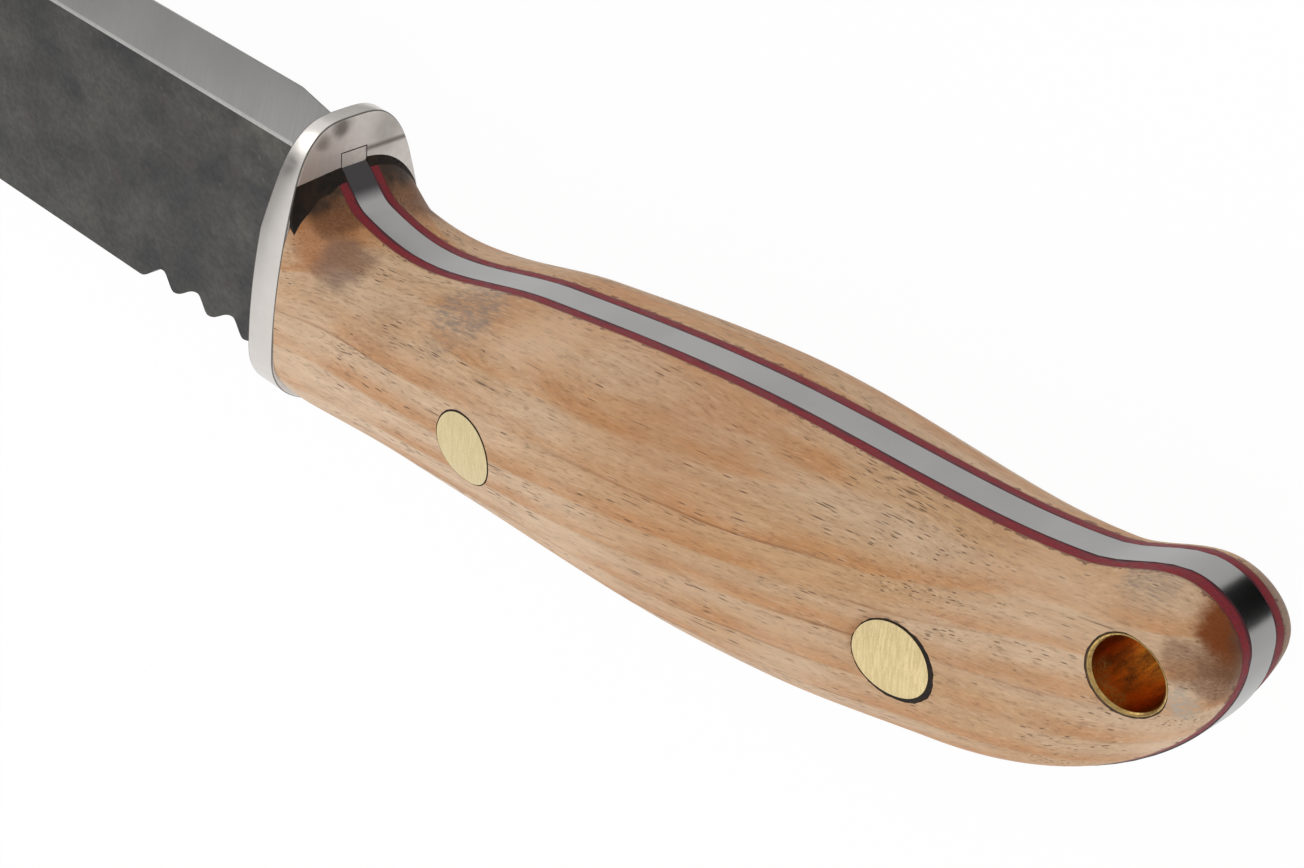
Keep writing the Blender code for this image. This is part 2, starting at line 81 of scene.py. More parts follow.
# %% Find the seat and the sizes that the frame already holds
guard_low, guard_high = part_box("finger_guard")
steel_low, steel_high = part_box("blade")
scale_low, scale_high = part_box("right_scale")
_, liner_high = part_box("right_liner")

SEAT = Vector((guard_low.x, steel_high.y, (steel_low.z + steel_high.z) / 2))
TIP = steel_high.x - SEAT.x
GRIP_LENGTH = SEAT.x - scale_low.x
HALF_STEEL = (steel_high.z - steel_low.z) / 2
LINER_OUTER = (liner_high.z + scale_low.z) / 2 - SEAT.z
WIDEST = scale_high.z - SEAT.z
GUARD_THICKNESS = guard_high.x - guard_low.x
GUARD_HALF_WIDTH = (guard_high.z - guard_low.z) / 2
GUARD_DEPTH = SEAT.y - guard_low.y
print(f"blade {TIP * 1000:.1f} mm, grip {GRIP_LENGTH * 1000:.1f} mm, steel {HALF_STEEL * 2000:.1f} mm")

# %% [markdown]
# ## The camera
#
# The picture is taken from behind the butt and above the finger side, with a longish lens and the
# camera turned on its side, so that the grip runs across the frame and the blade leaves it at the left.
# The lens is given as a focal length in pixels of a picture 1304 wide, the unit that a fit to a
# photograph works in.

# %% Set up the camera
PHOTO_WIDTH = 1304
FOCAL_PIXELS = 3000
SENSOR_WIDTH = 36
CAMERA_FROM_SEAT = Vector((-0.214596, -0.172760, 0.175358))
AIM_FROM_SEAT = Vector((-0.045718, -0.019153, 0))
CAMERA_ROLL = math.radians(114.261)


def camera_axes(eye, aim, roll):
    """A turn whose columns are the camera's right, up and backward directions."""
    ahead = (aim - eye).normalized()
    level = ahead.cross(Vector((0, 0, 1))).normalized()
    up = level.cross(ahead) * math.cos(roll) + level * math.sin(roll)
    return Matrix((ahead.cross(up), up, -ahead)).transposed()


lens = bpy.data.cameras.new("camera")
lens.sensor_fit = "HORIZONTAL"
lens.sensor_width = SENSOR_WIDTH
lens.lens = FOCAL_PIXELS * SENSOR_WIDTH / PHOTO_WIDTH
lens.clip_start = 0.01
camera = bpy.data.objects.new("camera", lens)
turn = camera_axes(CAMERA_FROM_SEAT, AIM_FROM_SEAT, CAMERA_ROLL)
camera.matrix_world = Matrix.Translation(SEAT + CAMERA_FROM_SEAT) @ turn.to_4x4()
bpy.context.scene.collection.objects.link(camera)
bpy.context.scene.camera = camera
print(f"lens {lens.lens:.1f} mm")

# %% [markdown]
# ## The lines of the grip
#
# Seen from the side a grip is two lines: the finger line, with its groove behind the guard, its swell
# and the hook at the butt, and the back. Seen from above it is one line of half widths. A maker draws
# such lines through a few points, and so does this cell. The curve between the points is a cubic that
# never overshoots them, so the grip gets no bumps.

# %% Draw the finger line, the back and the half width
HOOK_SETBACK = 0.0061
HOOK = GRIP_LENGTH - HOOK_SETBACK
HOOK_DEPTH = 0.0387
BUTT_DEPTH = 0.0332
BUTT_FLAT = 0.0008
BEND_SETBACK = 0.0270
BEND = GRIP_LENGTH - BEND_SETBACK
BEND_DEPTH = 0.0091
BEND_PULL = Vector((0.0160, 0.0032))
BEND_STEPS = 400
BUTT_PULL = Vector((0, 0.0078))
BUTT_ROUND_LENGTH = 0.0085
BUTT_ROUND_POWER = 2.7
BUTT_HALF_WIDTH = 0.0030
GROOVE = 0.0120

# Points of each line: the reach, then the depth or the half width there
FINGER_LINE = [
    (0, 0.0290),
    (0.0040, 0.0254),
    (GROOVE, 0.0241),
    (0.0320, 0.0283),
    (0.0640, 0.0325),
    (GRIP_LENGTH - 0.0270, 0.0336),
    (GRIP_LENGTH - 0.0165, 0.0350),
    (HOOK, HOOK_DEPTH),
    (GRIP_LENGTH, BUTT_DEPTH + BUTT_FLAT / 2),
]
BACK_LINE = [
    (0, 0.0024),
    (0.0120, 0.0027),
    (0.0500, 0.0041),
    (GRIP_LENGTH - 0.0450, 0.0058),
    (BEND, BEND_DEPTH),
]
WIDTH_LINE = [
    (0, 0.0104),
    (0.0300, 0.0114),
    (0.0550, WIDEST),
    (GRIP_LENGTH - 0.0150, 0.0073),
    (GRIP_LENGTH, 0.0058),
]


def smooth_through(knots, places):
    """Values at the places, on a smooth curve through the knots that doesn't overshoot them."""
    x, y = np.array(knots, dtype=float).T
    step = np.diff(x)
    secant = np.diff(y) / step
    slope = np.zeros(len(x))
    slope[0], slope[-1] = secant[0], secant[-1]
    for i in range(1, len(x) - 1):
        if secant[i - 1] * secant[i] > 0:
            before = 2 * step[i] + step[i - 1]
            after = step[i] + 2 * step[i - 1]
            slope[i] = (before + after) / (before / secant[i - 1] + after / secant[i])
    places = np.clip(places, x[0], x[-1])
    i = np.clip(np.searchsorted(x, places) - 1, 0, len(step) - 1)
    t = (places - x[i]) / step[i]
    rise = y[i + 1] - y[i]
    start, end = slope[i] * step[i], slope[i + 1] * step[i]
    return y[i] + t * (start + t * (3 * rise - 2 * start - end + t * (start + end - 2 * rise)))


def quarter_round(share, power=2):
    """Falls from 1 to 0 as the share runs from 0 to 1, like a quarter of an ellipse."""
    return (1 - np.clip(share, 0, 1) ** power) ** (1 / power)


def finger_depth(reach):
    butt = BUTT_DEPTH + BUTT_FLAT / 2
    past_hook = butt + (HOOK_DEPTH - butt) * quarter_round((reach - HOOK) / HOOK_SETBACK)
    return np.where(reach < HOOK, smooth_through(FINGER_LINE, reach), past_hook)


def back_depth(reach):
    bend = Vector((BEND, BEND_DEPTH))
    butt = Vector((GRIP_LENGTH, BUTT_DEPTH - BUTT_FLAT / 2))
    round_end = interpolate_bezier(bend, bend + BEND_PULL, butt - BUTT_PULL, butt, BEND_STEPS)
    return np.where(reach < BEND, smooth_through(BACK_LINE, reach), np.interp(reach, *zip(*round_end)))


def half_width(reach):
    past_start = (reach - GRIP_LENGTH + BUTT_ROUND_LENGTH) / BUTT_ROUND_LENGTH
    rounding = quarter_round(past_start, BUTT_ROUND_POWER)
    return BUTT_HALF_WIDTH + (smooth_through(WIDTH_LINE, reach) - BUTT_HALF_WIDTH) * rounding


for name, line in (("finger line", finger_depth), ("back", back_depth), ("half width", half_width)):
    print(name, "at mid grip:", round(float(line(GRIP_LENGTH / 2)) * 1000, 1), "mm")

# %% [markdown]
# ## A loft by extruding
#
# The sections of a grip differ all the way along, so no single operator turns or sweeps it. A loft is
# still only one ring of edges, extruded again and again: each time the new ring is moved to the next
# section. A whole-number layer on the vertices remembers each vertex's place in its ring, because an
# extruded vertex copies that number.

# %% The loft and other mesh helpers
WELD = 1e-6
SHARP_ANGLE = math.radians(32)
ROUND_SEGMENTS = 96


def loft(sections, ends=True):
    """A solid through rings of points, made by extruding one ring of edges, with or without end faces."""
    solid = bmesh.new()
    place = solid.verts.layers.int.new("place")
    ring = bmesh.ops.create_circle(solid, segments=len(sections[0]), radius=1)["verts"]
    for i, vert in enumerate(ring):
        vert[place] = i
        vert.co = sections[0][i]
    first_rim = rim = list(solid.edges)
    for section in sections[1:]:
        made = bmesh.ops.extrude_edge_only(solid, edges=rim)["geom"]
        for vert in (part for part in made if isinstance(part, bmesh.types.BMVert)):
            vert.co = section[vert[place]]
        rim = [part for part in made if isinstance(part, bmesh.types.BMEdge) and part.is_boundary]
    if ends:
        for edges in (first_rim, rim):
            bmesh.ops.contextual_create(solid, geom=edges)
    else:
        bmesh.ops.remove_doubles(solid, verts=solid.verts, dist=WELD)
    bmesh.ops.recalc_face_normals(solid, faces=solid.faces)
    return solid


def everything(solid):
    return list(solid.verts) + list(solid.edges) + list(solid.faces)


def slice_off(solid, point, outward):
    """Cut with a plane, drop what lies outside it, and close the cut with one face."""
    cut = bmesh.ops.bisect_plane(
        solid, geom=everything(solid), dist=WELD, plane_co=point, plane_no=outward, clear_outer=True
    )
    rim = [part for part in cut["geom_cut"] if isinstance(part, bmesh.types.BMEdge) and part.is_boundary]
    if rim:
        bmesh.ops.contextual_create(solid, geom=rim)


def object_from(name, solid):
    """A new object in the scene that holds the shape."""
    mesh = bpy.data.meshes.new(name)
    solid.to_mesh(mesh)
    solid.free()
    obj = bpy.data.objects.new(name, mesh)
    bpy.context.scene.collection.objects.link(obj)
    return obj


def carving_object(solid):
    """A passing object for Booleans, with its faces looking outwards."""
    bmesh.ops.recalc_face_normals(solid, faces=solid.faces)
    return object_from("carving", solid)


def carve(solid, *steps):
    """Run Booleans one after another, each given as an operation and a cutter, and return the outcome."""
    blank = carving_object(solid)
    tools = [carving_object(cutter.copy()) for _, cutter in steps]
    for (operation, _), tool in zip(steps, tools):
        modifier = blank.modifiers.new("carve", "BOOLEAN")
        modifier.operation = operation
        modifier.solver = "EXACT"
        modifier.object = tool
    graph = bpy.context.evaluated_depsgraph_get()
    outcome = bmesh.new()
    outcome.from_mesh(blank.evaluated_get(graph).to_mesh())
    for obj in [blank, *tools]:
        mesh = obj.data
        bpy.data.objects.remove(obj)
        bpy.data.meshes.remove(mesh)
    return outcome


def edge_uses(mesh):
    """How many faces use each edge of a mesh."""
    edges = np.zeros(len(mesh.loops), int)
    mesh.loops.foreach_get("edge_index", edges)
    return np.bincount(edges, minlength=len(mesh.edges))


def finish_piece(name, solid, materials, node=None):
    """Move a shape to the seat, give it materials, and let it stand for a plain solid if one is named."""
    bmesh.ops.translate(solid, verts=solid.verts, vec=SEAT)
    piece = object_from(name, solid)
    mesh = piece.data
    mesh.shade_smooth()
    mesh.set_sharp_from_angle(angle=SHARP_ANGLE)
    for material in materials:
        mesh.materials.append(material)
    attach(piece, "root")
    if node:
        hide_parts(node)
    open_edges = sum(1 for count in edge_uses(mesh) if count != 2)
    print(f"{name}: {len(mesh.polygons)} faces, {open_edges} open edges")


def rod(reach, depth, radius):
    """An upright cylinder through the whole grip."""
    solid = bmesh.new()
    bmesh.ops.create_cone(
        solid,
        cap_ends=True,
        segments=ROUND_SEGMENTS,
        radius1=radius,
        radius2=radius,
        depth=3 * WIDEST,
        matrix=Matrix.Translation((-reach, -depth, 0)),
    )
    return solid


# %% [markdown]
# ## The form of the grip
#
# The scales, liners, pins and tube are glued up first and then sanded as one, so they share one
# outside. It is made once, as a loft of superellipses that are squarer on the finger side than on the
# back, and each piece is later cut from it. Right behind the guard the grip is no wider than the guard,
# so the sections are held to the guard's outline there and let go a little further back. They stand
# close together where the groove and the butt bend most.

# %% Loft the form of the grip
RING_POINTS = 144
GROOVE_SECTIONS = 24
PALM_SECTIONS = 110
BUTT_SECTIONS = 28
FRONT_FINGER_POWER = 2.7
FINGER_POWER = 3.0
FRONT_BACK_POWER = 2.2
BACK_POWER = 2.36
FRONT_WIDEST_SHARE = 0.28
WIDEST_SHARE = 0.54
SECTION_BLEND = 0.018
FRONT_GAP = 0.00005
GUARD_WIDEST_DEPTH = 0.0090
GUARD_BACK_ROUND = 0.0072
GUARD_BACK_POWER = 2.3
GUARD_NARROWING = 0.0026
GUARD_FLANK_POWER = 1.8
GUARD_FINGER_ROUND = 0.0075
GUARD_FINGER_POWER = 3.5
GUARD_FINGER_START = GUARD_DEPTH - GUARD_FINGER_ROUND
GUARD_FLARE = 1.3


def behind_guard(front, rest, reach):
    """A value that eases from the front of the grip to the rest of it."""
    share = np.clip(reach / SECTION_BLEND, 0, 1)
    return front + (rest - front) * share * share * (3 - 2 * share)


def guard_half_width(depth):
    """Half width of the guard at a depth: round ends, and flanks that draw in towards the fingers."""
    past_widest = np.maximum(depth - GUARD_WIDEST_DEPTH, 0) / (GUARD_FINGER_START - GUARD_WIDEST_DEPTH)
    flank = GUARD_HALF_WIDTH - GUARD_NARROWING * past_widest**GUARD_FLANK_POWER
    back_end = quarter_round((GUARD_WIDEST_DEPTH - depth) / GUARD_BACK_ROUND, GUARD_BACK_POWER)
    finger_end = quarter_round((depth - GUARD_FINGER_START) / GUARD_FINGER_ROUND, GUARD_FINGER_POWER)
    return flank * back_end * finger_end


def widest_depth(reach):
    finger, back = finger_depth(reach), back_depth(reach)
    return back + (finger - back) * behind_guard(FRONT_WIDEST_SHARE, WIDEST_SHARE, reach)


def powers(reach):
    """How square a section is on the finger side and on the back."""
    finger = behind_guard(FRONT_FINGER_POWER, FINGER_POWER, reach)
    return finger, behind_guard(FRONT_BACK_POWER, BACK_POWER, reach)


def wood_depth(reach, height):
    """Depth of the finger side of the grip at a reach and a height."""
    power, _ = powers(reach)
    widest = widest_depth(reach)
    return widest + (finger_depth(reach) - widest) * quarter_round(height / half_width(reach), power)


def wood_height(reach, depth):
    """Half width of the grip at a reach and a depth."""
    finger_side = depth > widest_depth(reach)
    side = np.where(finger_side, finger_depth(reach), back_depth(reach)) - widest_depth(reach)
    power = np.where(finger_side, *powers(reach))
    height = half_width(reach) * quarter_round((depth - widest_depth(reach)) / side, power)
    return np.minimum(height, guard_half_width(depth) + GUARD_FLARE * reach)


def grip_section(reach):
    """Points around the grip at one reach: a superellipse on each side of its widest line."""
    widest = widest_depth(reach)
    turns = 2 * math.pi * np.arange(RING_POINTS) / RING_POINTS
    towards_finger, sideways = np.cos(turns), np.sin(turns)
    power = np.where(towards_finger > 0, *powers(reach))
    side = np.where(towards_finger > 0, finger_depth(reach), back_depth(reach)) - widest
    depth = widest + side * np.abs(towards_finger) ** (2 / power)
    height = half_width(reach) * np.sign(sideways) * np.abs(sideways) ** (2 / power)
    most = guard_half_width(depth) + GUARD_FLARE * reach
    return [(-reach, -d, h) for d, h in zip(depth, np.clip(height, -most, most))]


groove_run = np.linspace(FRONT_GAP, GROOVE, GROOVE_SECTIONS)[:-1]
palm_run = np.linspace(GROOVE, HOOK, PALM_SECTIONS)[:-1]
butt_run = HOOK + HOOK_SETBACK * np.sin(np.linspace(0, math.pi / 2, BUTT_SECTIONS))
grip_form = loft([grip_section(reach) for reach in np.concatenate([groove_run, palm_run, butt_run])])
print("form of the grip:", len(grip_form.faces), "faces")

# %% [markdown]
# ## Bores for pins and tube
#
# Two solid brass pins and a brass tube run straight through. The bores are a little wider than the
# metal, not quite true to it and ragged, and the dark glue that fills the gap shows as a thin ring, or
# as a crescent on one side.

# %% Place the pins, the tube and their bores
front_low, front_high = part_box("front_pin")
rear_low, rear_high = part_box("rear_pin")
tube_low, tube_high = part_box("lanyard_tube")
RIPPLES = ((5, 0.9), (9, 2.1), (16, 4.0), (27, 0.3))  # waves round the wall, and their phases


def bore_place(low, high):
    """Reach, depth and radius of a round piece, from its box."""
    middle = (low + high) / 2 - SEAT
    return -middle.x, -middle.y, (high.x - low.x) / 2


def ragged_bore(place, glue_gap, drift, ripple):
    """A bore around a round piece: wider by the gap, moved sideways by the drift, with a rippled wall."""
    reach, depth, radius = place
    centre = Vector((-reach - drift[0], -depth - drift[1]))
    bore = rod(-centre.x, -centre.y, radius + glue_gap)
    for vert in bore.verts:
        out = vert.co.xy - centre
        angle = math.atan2(out.y, out.x)
        wave = sum(math.sin(count * angle + phase) for count, phase in RIPPLES) / len(RIPPLES)
        vert.co.xy = centre + out * (1 + ripple * wave / out.length)
    return bore


FRONT_PIN = bore_place(front_low, front_high)
REAR_PIN = bore_place(rear_low, rear_high)
TUBE = bore_place(tube_low, tube_high)
bores = {
    "front": ragged_bore(FRONT_PIN, glue_gap=0.00017, drift=(0.00006, 0.00010), ripple=0.00003),
    "rear": ragged_bore(REAR_PIN, glue_gap=0.00034, drift=(0.00024, -0.00004), ripple=0.00008),
    "tube": ragged_bore(TUBE, glue_gap=0.00011, drift=(-0.00007, -0.00007), ripple=0.00005),
}
print("pin", round(FRONT_PIN[2] * 2000, 2), "mm, tube", round(TUBE[2] * 2000, 2), "mm")

# %% [markdown]
# ## Tools for finishes
#
# Finishes here are built from nodes, in millimetres measured from the seat, so that every pattern has
# its real size. Colours are written as they look on a screen, from 0 to 255, and turned into light
# values. A few small functions keep the node code short: one adds a node and fills its inputs, and the
# others name the few nodes that come back often.

# %% Node helpers
def paint(red, green, blue):
    """A colour as it looks on screen, turned into the light values that a shader takes."""
    parts = [part / 255 for part in (red, green, blue)]
    return (*[part / 12.92 if part < 0.04045 else ((part + 0.055) / 1.055) ** 2.4 for part in parts], 1)


def plug(tree, socket, source):
    """Link an input to the output of another node, or set it to a value."""
    if isinstance(source, bpy.types.NodeSocket):
        tree.links.new(source, socket)
    else:
        socket.default_value = source


def put(tree, kind, inputs=None, **options):
    """Add a shader node, set its options, and fill its inputs with values or links."""
    made = tree.nodes.new(kind)
    for option, value in options.items():
        setattr(made, option, value)
    for socket, source in (inputs or {}).items():
        plug(tree, made.inputs[socket], source)
    return made


def feed(tree, node, **sources):
    """Fill inputs of a node that is there already, named with _ for each space."""
    for name, source in sources.items():
        plug(tree, node.inputs[name.replace("_", " ")], source)


def reckon(tree, operation, *values):
    """The answer of a Math node."""
    return put(tree, "ShaderNodeMath", dict(enumerate(values)), operation=operation).outputs[0]


def times(tree, first, second):
    """The product of two numbers."""
    return reckon(tree, "MULTIPLY", first, second)


def axes_of(tree, place):
    """The three coordinates of a place."""
    return put(tree, "ShaderNodeSeparateXYZ", {0: place}).outputs


def stretch(tree, place, per_mm):
    """The place, with its three directions scaled to so many units per millimetre."""
    return put(tree, "ShaderNodeVectorMath", {0: place, 1: per_mm}, operation="MULTIPLY").outputs[0]


def cloud(tree, place, detail=2.0, roughness=0.5):
    """Smooth noise, one lump per unit."""
    inputs = {"Vector": place, "Scale": 1.0, "Detail": detail, "Roughness": roughness}
    return put(tree, "ShaderNodeTexNoise", inputs).outputs[0]


def fade(tree, value, low, high, start=0.0, end=1.0):
    """Ease from one value to another as the input runs from low to high, and stay there."""
    inputs = {0: value, 1: low, 2: high, 3: start, 4: end}
    return put(tree, "ShaderNodeMapRange", inputs, interpolation_type="SMOOTHSTEP").outputs[0]


def tint(tree, share, first, second):
    """A mix of two colours, with so large a share of the second."""
    return put(tree, "ShaderNodeMix", {0: share, 6: first, 7: second}, data_type="RGBA").outputs[2]


def coats(tree, colour, *layers):
    """A colour under further coats, each given as a share and a colour."""
    for share, coat in layers:
        colour = tint(tree, share, colour, coat)
    return colour


def raised(tree, height, strength, distance=0.0001):
    """A normal that follows a height."""
    inputs = {"Height": height, "Strength": strength, "Distance": distance}
    return put(tree, "ShaderNodeBump", inputs).outputs[0]


def knife_place(tree):
    """Millimetres from the seat along the knife's own axes."""
    place = put(tree, "ShaderNodeTexCoord").outputs["Object"]
    inputs = {"Vector": place, "Location": -1000 * SEAT, "Scale": (1000, 1000, 1000)}
    return put(tree, "ShaderNodeMapping", inputs).outputs[0]


def new_finish(name):
    """A material with its node tree, its Principled shader and the place that its patterns read."""
    material = bpy.data.materials.new(name)
    material.use_nodes = True
    tree = material.node_tree
    return material, tree, tree.nodes["Principled BSDF"], knife_place(tree)


# %% [markdown]
# ## Shared effects
#
# Three effects turn up in several finishes, so each is a node group with named sockets. Brush marks are
# the fine lines that a belt or a cloth leaves on metal: noise drawn out along one direction. A spot is
# a ragged patch round a place, for stains, soot and dirt. A mottle is a cloud in two sizes, for
# surfaces that were never quite clean.

# %% Build the shared groups
def new_group(name, takes, gives):
    group = bpy.data.node_groups.new(name, "ShaderNodeTree")
    for socket, kind in takes:
        group.interface.new_socket(socket, in_out="INPUT", socket_type="NodeSocket" + kind)
    for socket in gives:
        group.interface.new_socket(socket, in_out="OUTPUT", socket_type="NodeSocketFloat")
    return group, group.nodes.new("NodeGroupInput").outputs, group.nodes.new("NodeGroupOutput").inputs


def build_brush_marks():
    tree, takes, gives = new_group("brush_marks", [("Place", "Vector"), ("Per mm", "Vector")], ["Marks"])
    fine = cloud(tree, stretch(tree, takes["Place"], takes["Per mm"]), detail=4, roughness=0.65)
    tree.links.new(fade(tree, fine, 0.32, 0.68), gives["Marks"])
    return tree


def build_spot():
    numbers = [(name, "Float") for name in ("Radius", "Ragged", "Soft")]
    tree, takes, gives = new_group("spot", [("Place", "Vector"), ("Centre", "Vector"), *numbers], ["Mask"])
    apart = put(tree, "ShaderNodeVectorMath", {0: takes["Place"], 1: takes["Centre"]}, operation="DISTANCE")
    lumps = cloud(tree, stretch(tree, takes["Place"], (0.35, 0.6, 0.6)), detail=4, roughness=0.6)
    push = times(tree, reckon(tree, "SUBTRACT", lumps, 0.5), takes["Ragged"])
    away = reckon(tree, "DIVIDE", reckon(tree, "ADD", apart.outputs["Value"], push), takes["Radius"])
    full = reckon(tree, "SUBTRACT", 1.0, takes["Soft"])
    tree.links.new(fade(tree, away, 1.0, full), gives["Mask"])
    return tree


def build_mottle():
    tree, takes, gives = new_group("mottle", [("Place", "Vector"), ("Per mm", "Vector")], ["Broad", "Fine"])
    broad = stretch(tree, takes["Place"], takes["Per mm"])
    tree.links.new(fade(tree, cloud(tree, broad, detail=3), 0.3, 0.7), gives["Broad"])
    fine = stretch(tree, broad, (6, 6, 6))
    tree.links.new(fade(tree, cloud(tree, fine, detail=3, roughness=0.6), 0.3, 0.7), gives["Fine"])
    return tree


GROUPS = {"brush_marks": build_brush_marks(), "spot": build_spot(), "mottle": build_mottle()}


def effect(tree, group, **inputs):
    """Place a shared group in a finish and return its outputs."""
    made = put(tree, "ShaderNodeGroup", node_tree=GROUPS[group])
    feed(tree, made, **inputs)
    return made.outputs


print("groups:", ", ".join(GROUPS))

# %% [markdown]
# ## Oiled wood
#
# The scales are pale tan wood, whose grain runs a few degrees askew to the knife. Growth rings are
# layers through the whole plank, so a solid pattern cut by the curved grip gives the long arcs of the
# real thing without any drawing: soft orange bands, of which a few end in a brown line that dies out
# towards the butt. Pores are stretched cells, thin as a hair, of which only some are kept, in loose
# swarms, and beside many of them lies a pale fleck. Broad patches of cream, honey and brown vary the
# tone, and the back of the grip is painted paler towards the guard, as painted light. Glue and handling
# stain the wood beside the guard and at the butt, the dark scorch right behind the guard is also painted
# shade, and a stain lets the fibres show through.

# %% Wood colours and grain
GRAIN_TURN = math.radians(-9)
RING_WIDTH = 3.9
RING_LEAN = -0.5
WOOD_CREAM = paint(231, 202, 172)
WOOD_PALE = paint(214, 183, 151)
WOOD_WARM = paint(204, 164, 123)
WOOD_ORANGE = paint(199, 139, 86)
WOOD_LINE = paint(140, 88, 50)
WOOD_BROWN = paint(142, 98, 62)
WOOD_FLECK = paint(230, 206, 178)
WOOD_PORE = paint(84, 66, 52)
WOOD_HONEY = paint(182, 124, 76)
WOOD_GREY = paint(140, 124, 112)
WOOD_BURNISH = paint(162, 101, 56)
WOOD_AMBER = paint(116, 54, 2)
WOOD_TREACLE = paint(82, 42, 14)
WOOD_ASH = paint(124, 108, 98)
WOOD_SMOKE = paint(120, 93, 77)
WOOD_UMBER = paint(108, 68, 40)
WOOD_SCORCH_AND_SHADE = paint(40, 28, 18)
WOOD_CHALK = paint(176, 164, 148)
NICK_DARK = paint(92, 44, 40)
NICK_DEPTH = 0.45

# Cream wood, a painted light, and brown lines come in between two places along the grain and two across it
PAINTED_LIGHT_END = -74.0
PAINTED_LIGHT_FULL = -14.0
PAINTED_LIGHT_LOW = -20.0
PAINTED_LIGHT_HIGH = -9.0
LINES_END = -92.0
LINES_FULL = -74.0
LINES_LOW = -17.0
LINES_HIGH = -13.0

# Scorched wood and painted shade in the corner behind the guard, below a depth
SCORCH_AND_SHADE_FULL = 1.0
SCORCH_AND_SHADE_REACH = 3.2
SCORCH_AND_SHADE_WANDER = 2.4
SCORCH_AND_SHADE_DEPTH = 24.6
SCORCH_AND_SHADE_BLEND = 1.6


def shift(tree, place, by):
    """The place, moved by a vector."""
    return put(tree, "ShaderNodeVectorMath", {0: place, 1: by}, operation="ADD").outputs[0]


def stir(tree, place, per_mm, by_mm):
    """The place, pushed about by noise."""
    push = put(tree, "ShaderNodeTexNoise", {"Vector": stretch(tree, place, per_mm), "Scale": 1.0})
    centred = shift(tree, push.outputs["Color"], (-0.5, -0.5, -0.5))
    return shift(tree, place, stretch(tree, centred, by_mm))


def dashes(tree, place, per_mm, crowd, size):
    """Short thin dashes: stretched cells, kept where the crowd value is high."""
    cells = put(tree, "ShaderNodeTexVoronoi", {"Vector": stretch(tree, place, per_mm), "Scale": 1.0})
    lot = put(tree, "ShaderNodeSeparateColor", {0: cells.outputs["Color"]}).outputs[0]
    kept = fade(tree, reckon(tree, "ADD", lot, crowd), 0.97, 1.05)
    return times(tree, fade(tree, cells.outputs["Distance"], size, size * 0.4), kept)


# %% Wood finish
def wood_grain(tree, place):
    """Colour of clean wood, with its fibres and pores for the stains and the surface."""
    turned = put(tree, "ShaderNodeMapping", {"Vector": place, "Rotation": (0, 0, GRAIN_TURN)}).outputs[0]
    bent = stir(tree, turned, (0.02, 0.06, 0.06), (0, 5, 5))
    ragged = stir(tree, bent, (0.8, 2, 2), (0.4, 0.10, 0.10))
    axes = axes_of(tree, bent)
    across = reckon(tree, "ADD", axes[1], times(tree, axes[2], RING_LEAN))
    rings = reckon(tree, "FRACT", reckon(tree, "DIVIDE", across, RING_WIDTH))
    band = times(tree, fade(tree, rings, 0.25, 0.80), fade(tree, rings, 1.0, 0.88))
    line = times(tree, fade(tree, rings, 0.88, 0.95), fade(tree, rings, 1.0, 0.965))
    early = fade(tree, rings, 0.42, 0.10, 0.25, 1.0)
    chosen = fade(tree, cloud(tree, stretch(tree, bent, (0.012, 0.25, 0.25))), 0.46, 0.58, 0.06, 0.9)
    chosen = times(tree, chosen, fade(tree, axes[1], LINES_LOW, LINES_HIGH))
    chosen = times(tree, chosen, fade(tree, axes[0], LINES_END, LINES_FULL, 0.25, 1.0))
    broad = cloud(tree, stretch(tree, bent, (0.025, 0.14, 0.14)))
    patchy = cloud(tree, stretch(tree, bent, (0.06, 0.3, 0.3)), detail=3)
    streak = cloud(tree, stretch(tree, bent, (0.14, 1.5, 1.5)), detail=3)
    fibres = cloud(tree, stretch(tree, ragged, (0.45, 6, 6)), detail=3, roughness=0.6)
    speckle = cloud(tree, stretch(tree, ragged, (0.7, 4.2, 4.2)), detail=2, roughness=0.6)
    swarm = cloud(tree, stretch(tree, bent, (0.07, 0.30, 0.30)), detail=2)
    crowd = times(tree, fade(tree, swarm, 0.38, 0.66, 0.03, 0.56), early)
    short = dashes(tree, ragged, (0.45, 4.8, 4.8), crowd, 0.40)
    long = dashes(tree, bent, (0.14, 4.2, 4.2), reckon(tree, "SUBTRACT", crowd, 0.04), 0.36)
    pores = reckon(tree, "MAXIMUM", short, long)
    flecks = dashes(tree, shift(tree, ragged, (0.3, 0.16, 0.1)), (0.45, 4.8, 4.8), crowd, 0.40)

    # Painted light: paler cream wood on the back of the grip, strongest towards the guard
    cream = times(tree, fade(tree, axes[0], PAINTED_LIGHT_END, PAINTED_LIGHT_FULL), 0.9)
    cream = times(tree, cream, fade(tree, axes[1], PAINTED_LIGHT_LOW, PAINTED_LIGHT_HIGH, 0.1, 1.0))
    colour = coats(
        tree,
        WOOD_PALE,
        (fade(tree, broad, 0.35, 0.66), WOOD_WARM),
        (cream, WOOD_CREAM),
        (times(tree, band, fade(tree, patchy, 0.34, 0.60, 0.10, 0.70)), WOOD_ORANGE),
        (times(tree, line, chosen), WOOD_LINE),
        (fade(tree, streak, 0.3, 0.7, 0.24, 0.0), WOOD_BROWN),
        (fade(tree, fibres, 0.32, 0.68, 0.20, 0.0), WOOD_BROWN),
        (fade(tree, speckle, 0.54, 0.70, 0.0, 0.34), WOOD_PORE),
        (fade(tree, speckle, 0.44, 0.30, 0.0, 0.20), WOOD_FLECK),
        (times(tree, flecks, 0.30), WOOD_FLECK),
        (times(tree, pores, 0.85), WOOD_PORE),
    )
    return colour, fibres, speckle, pores


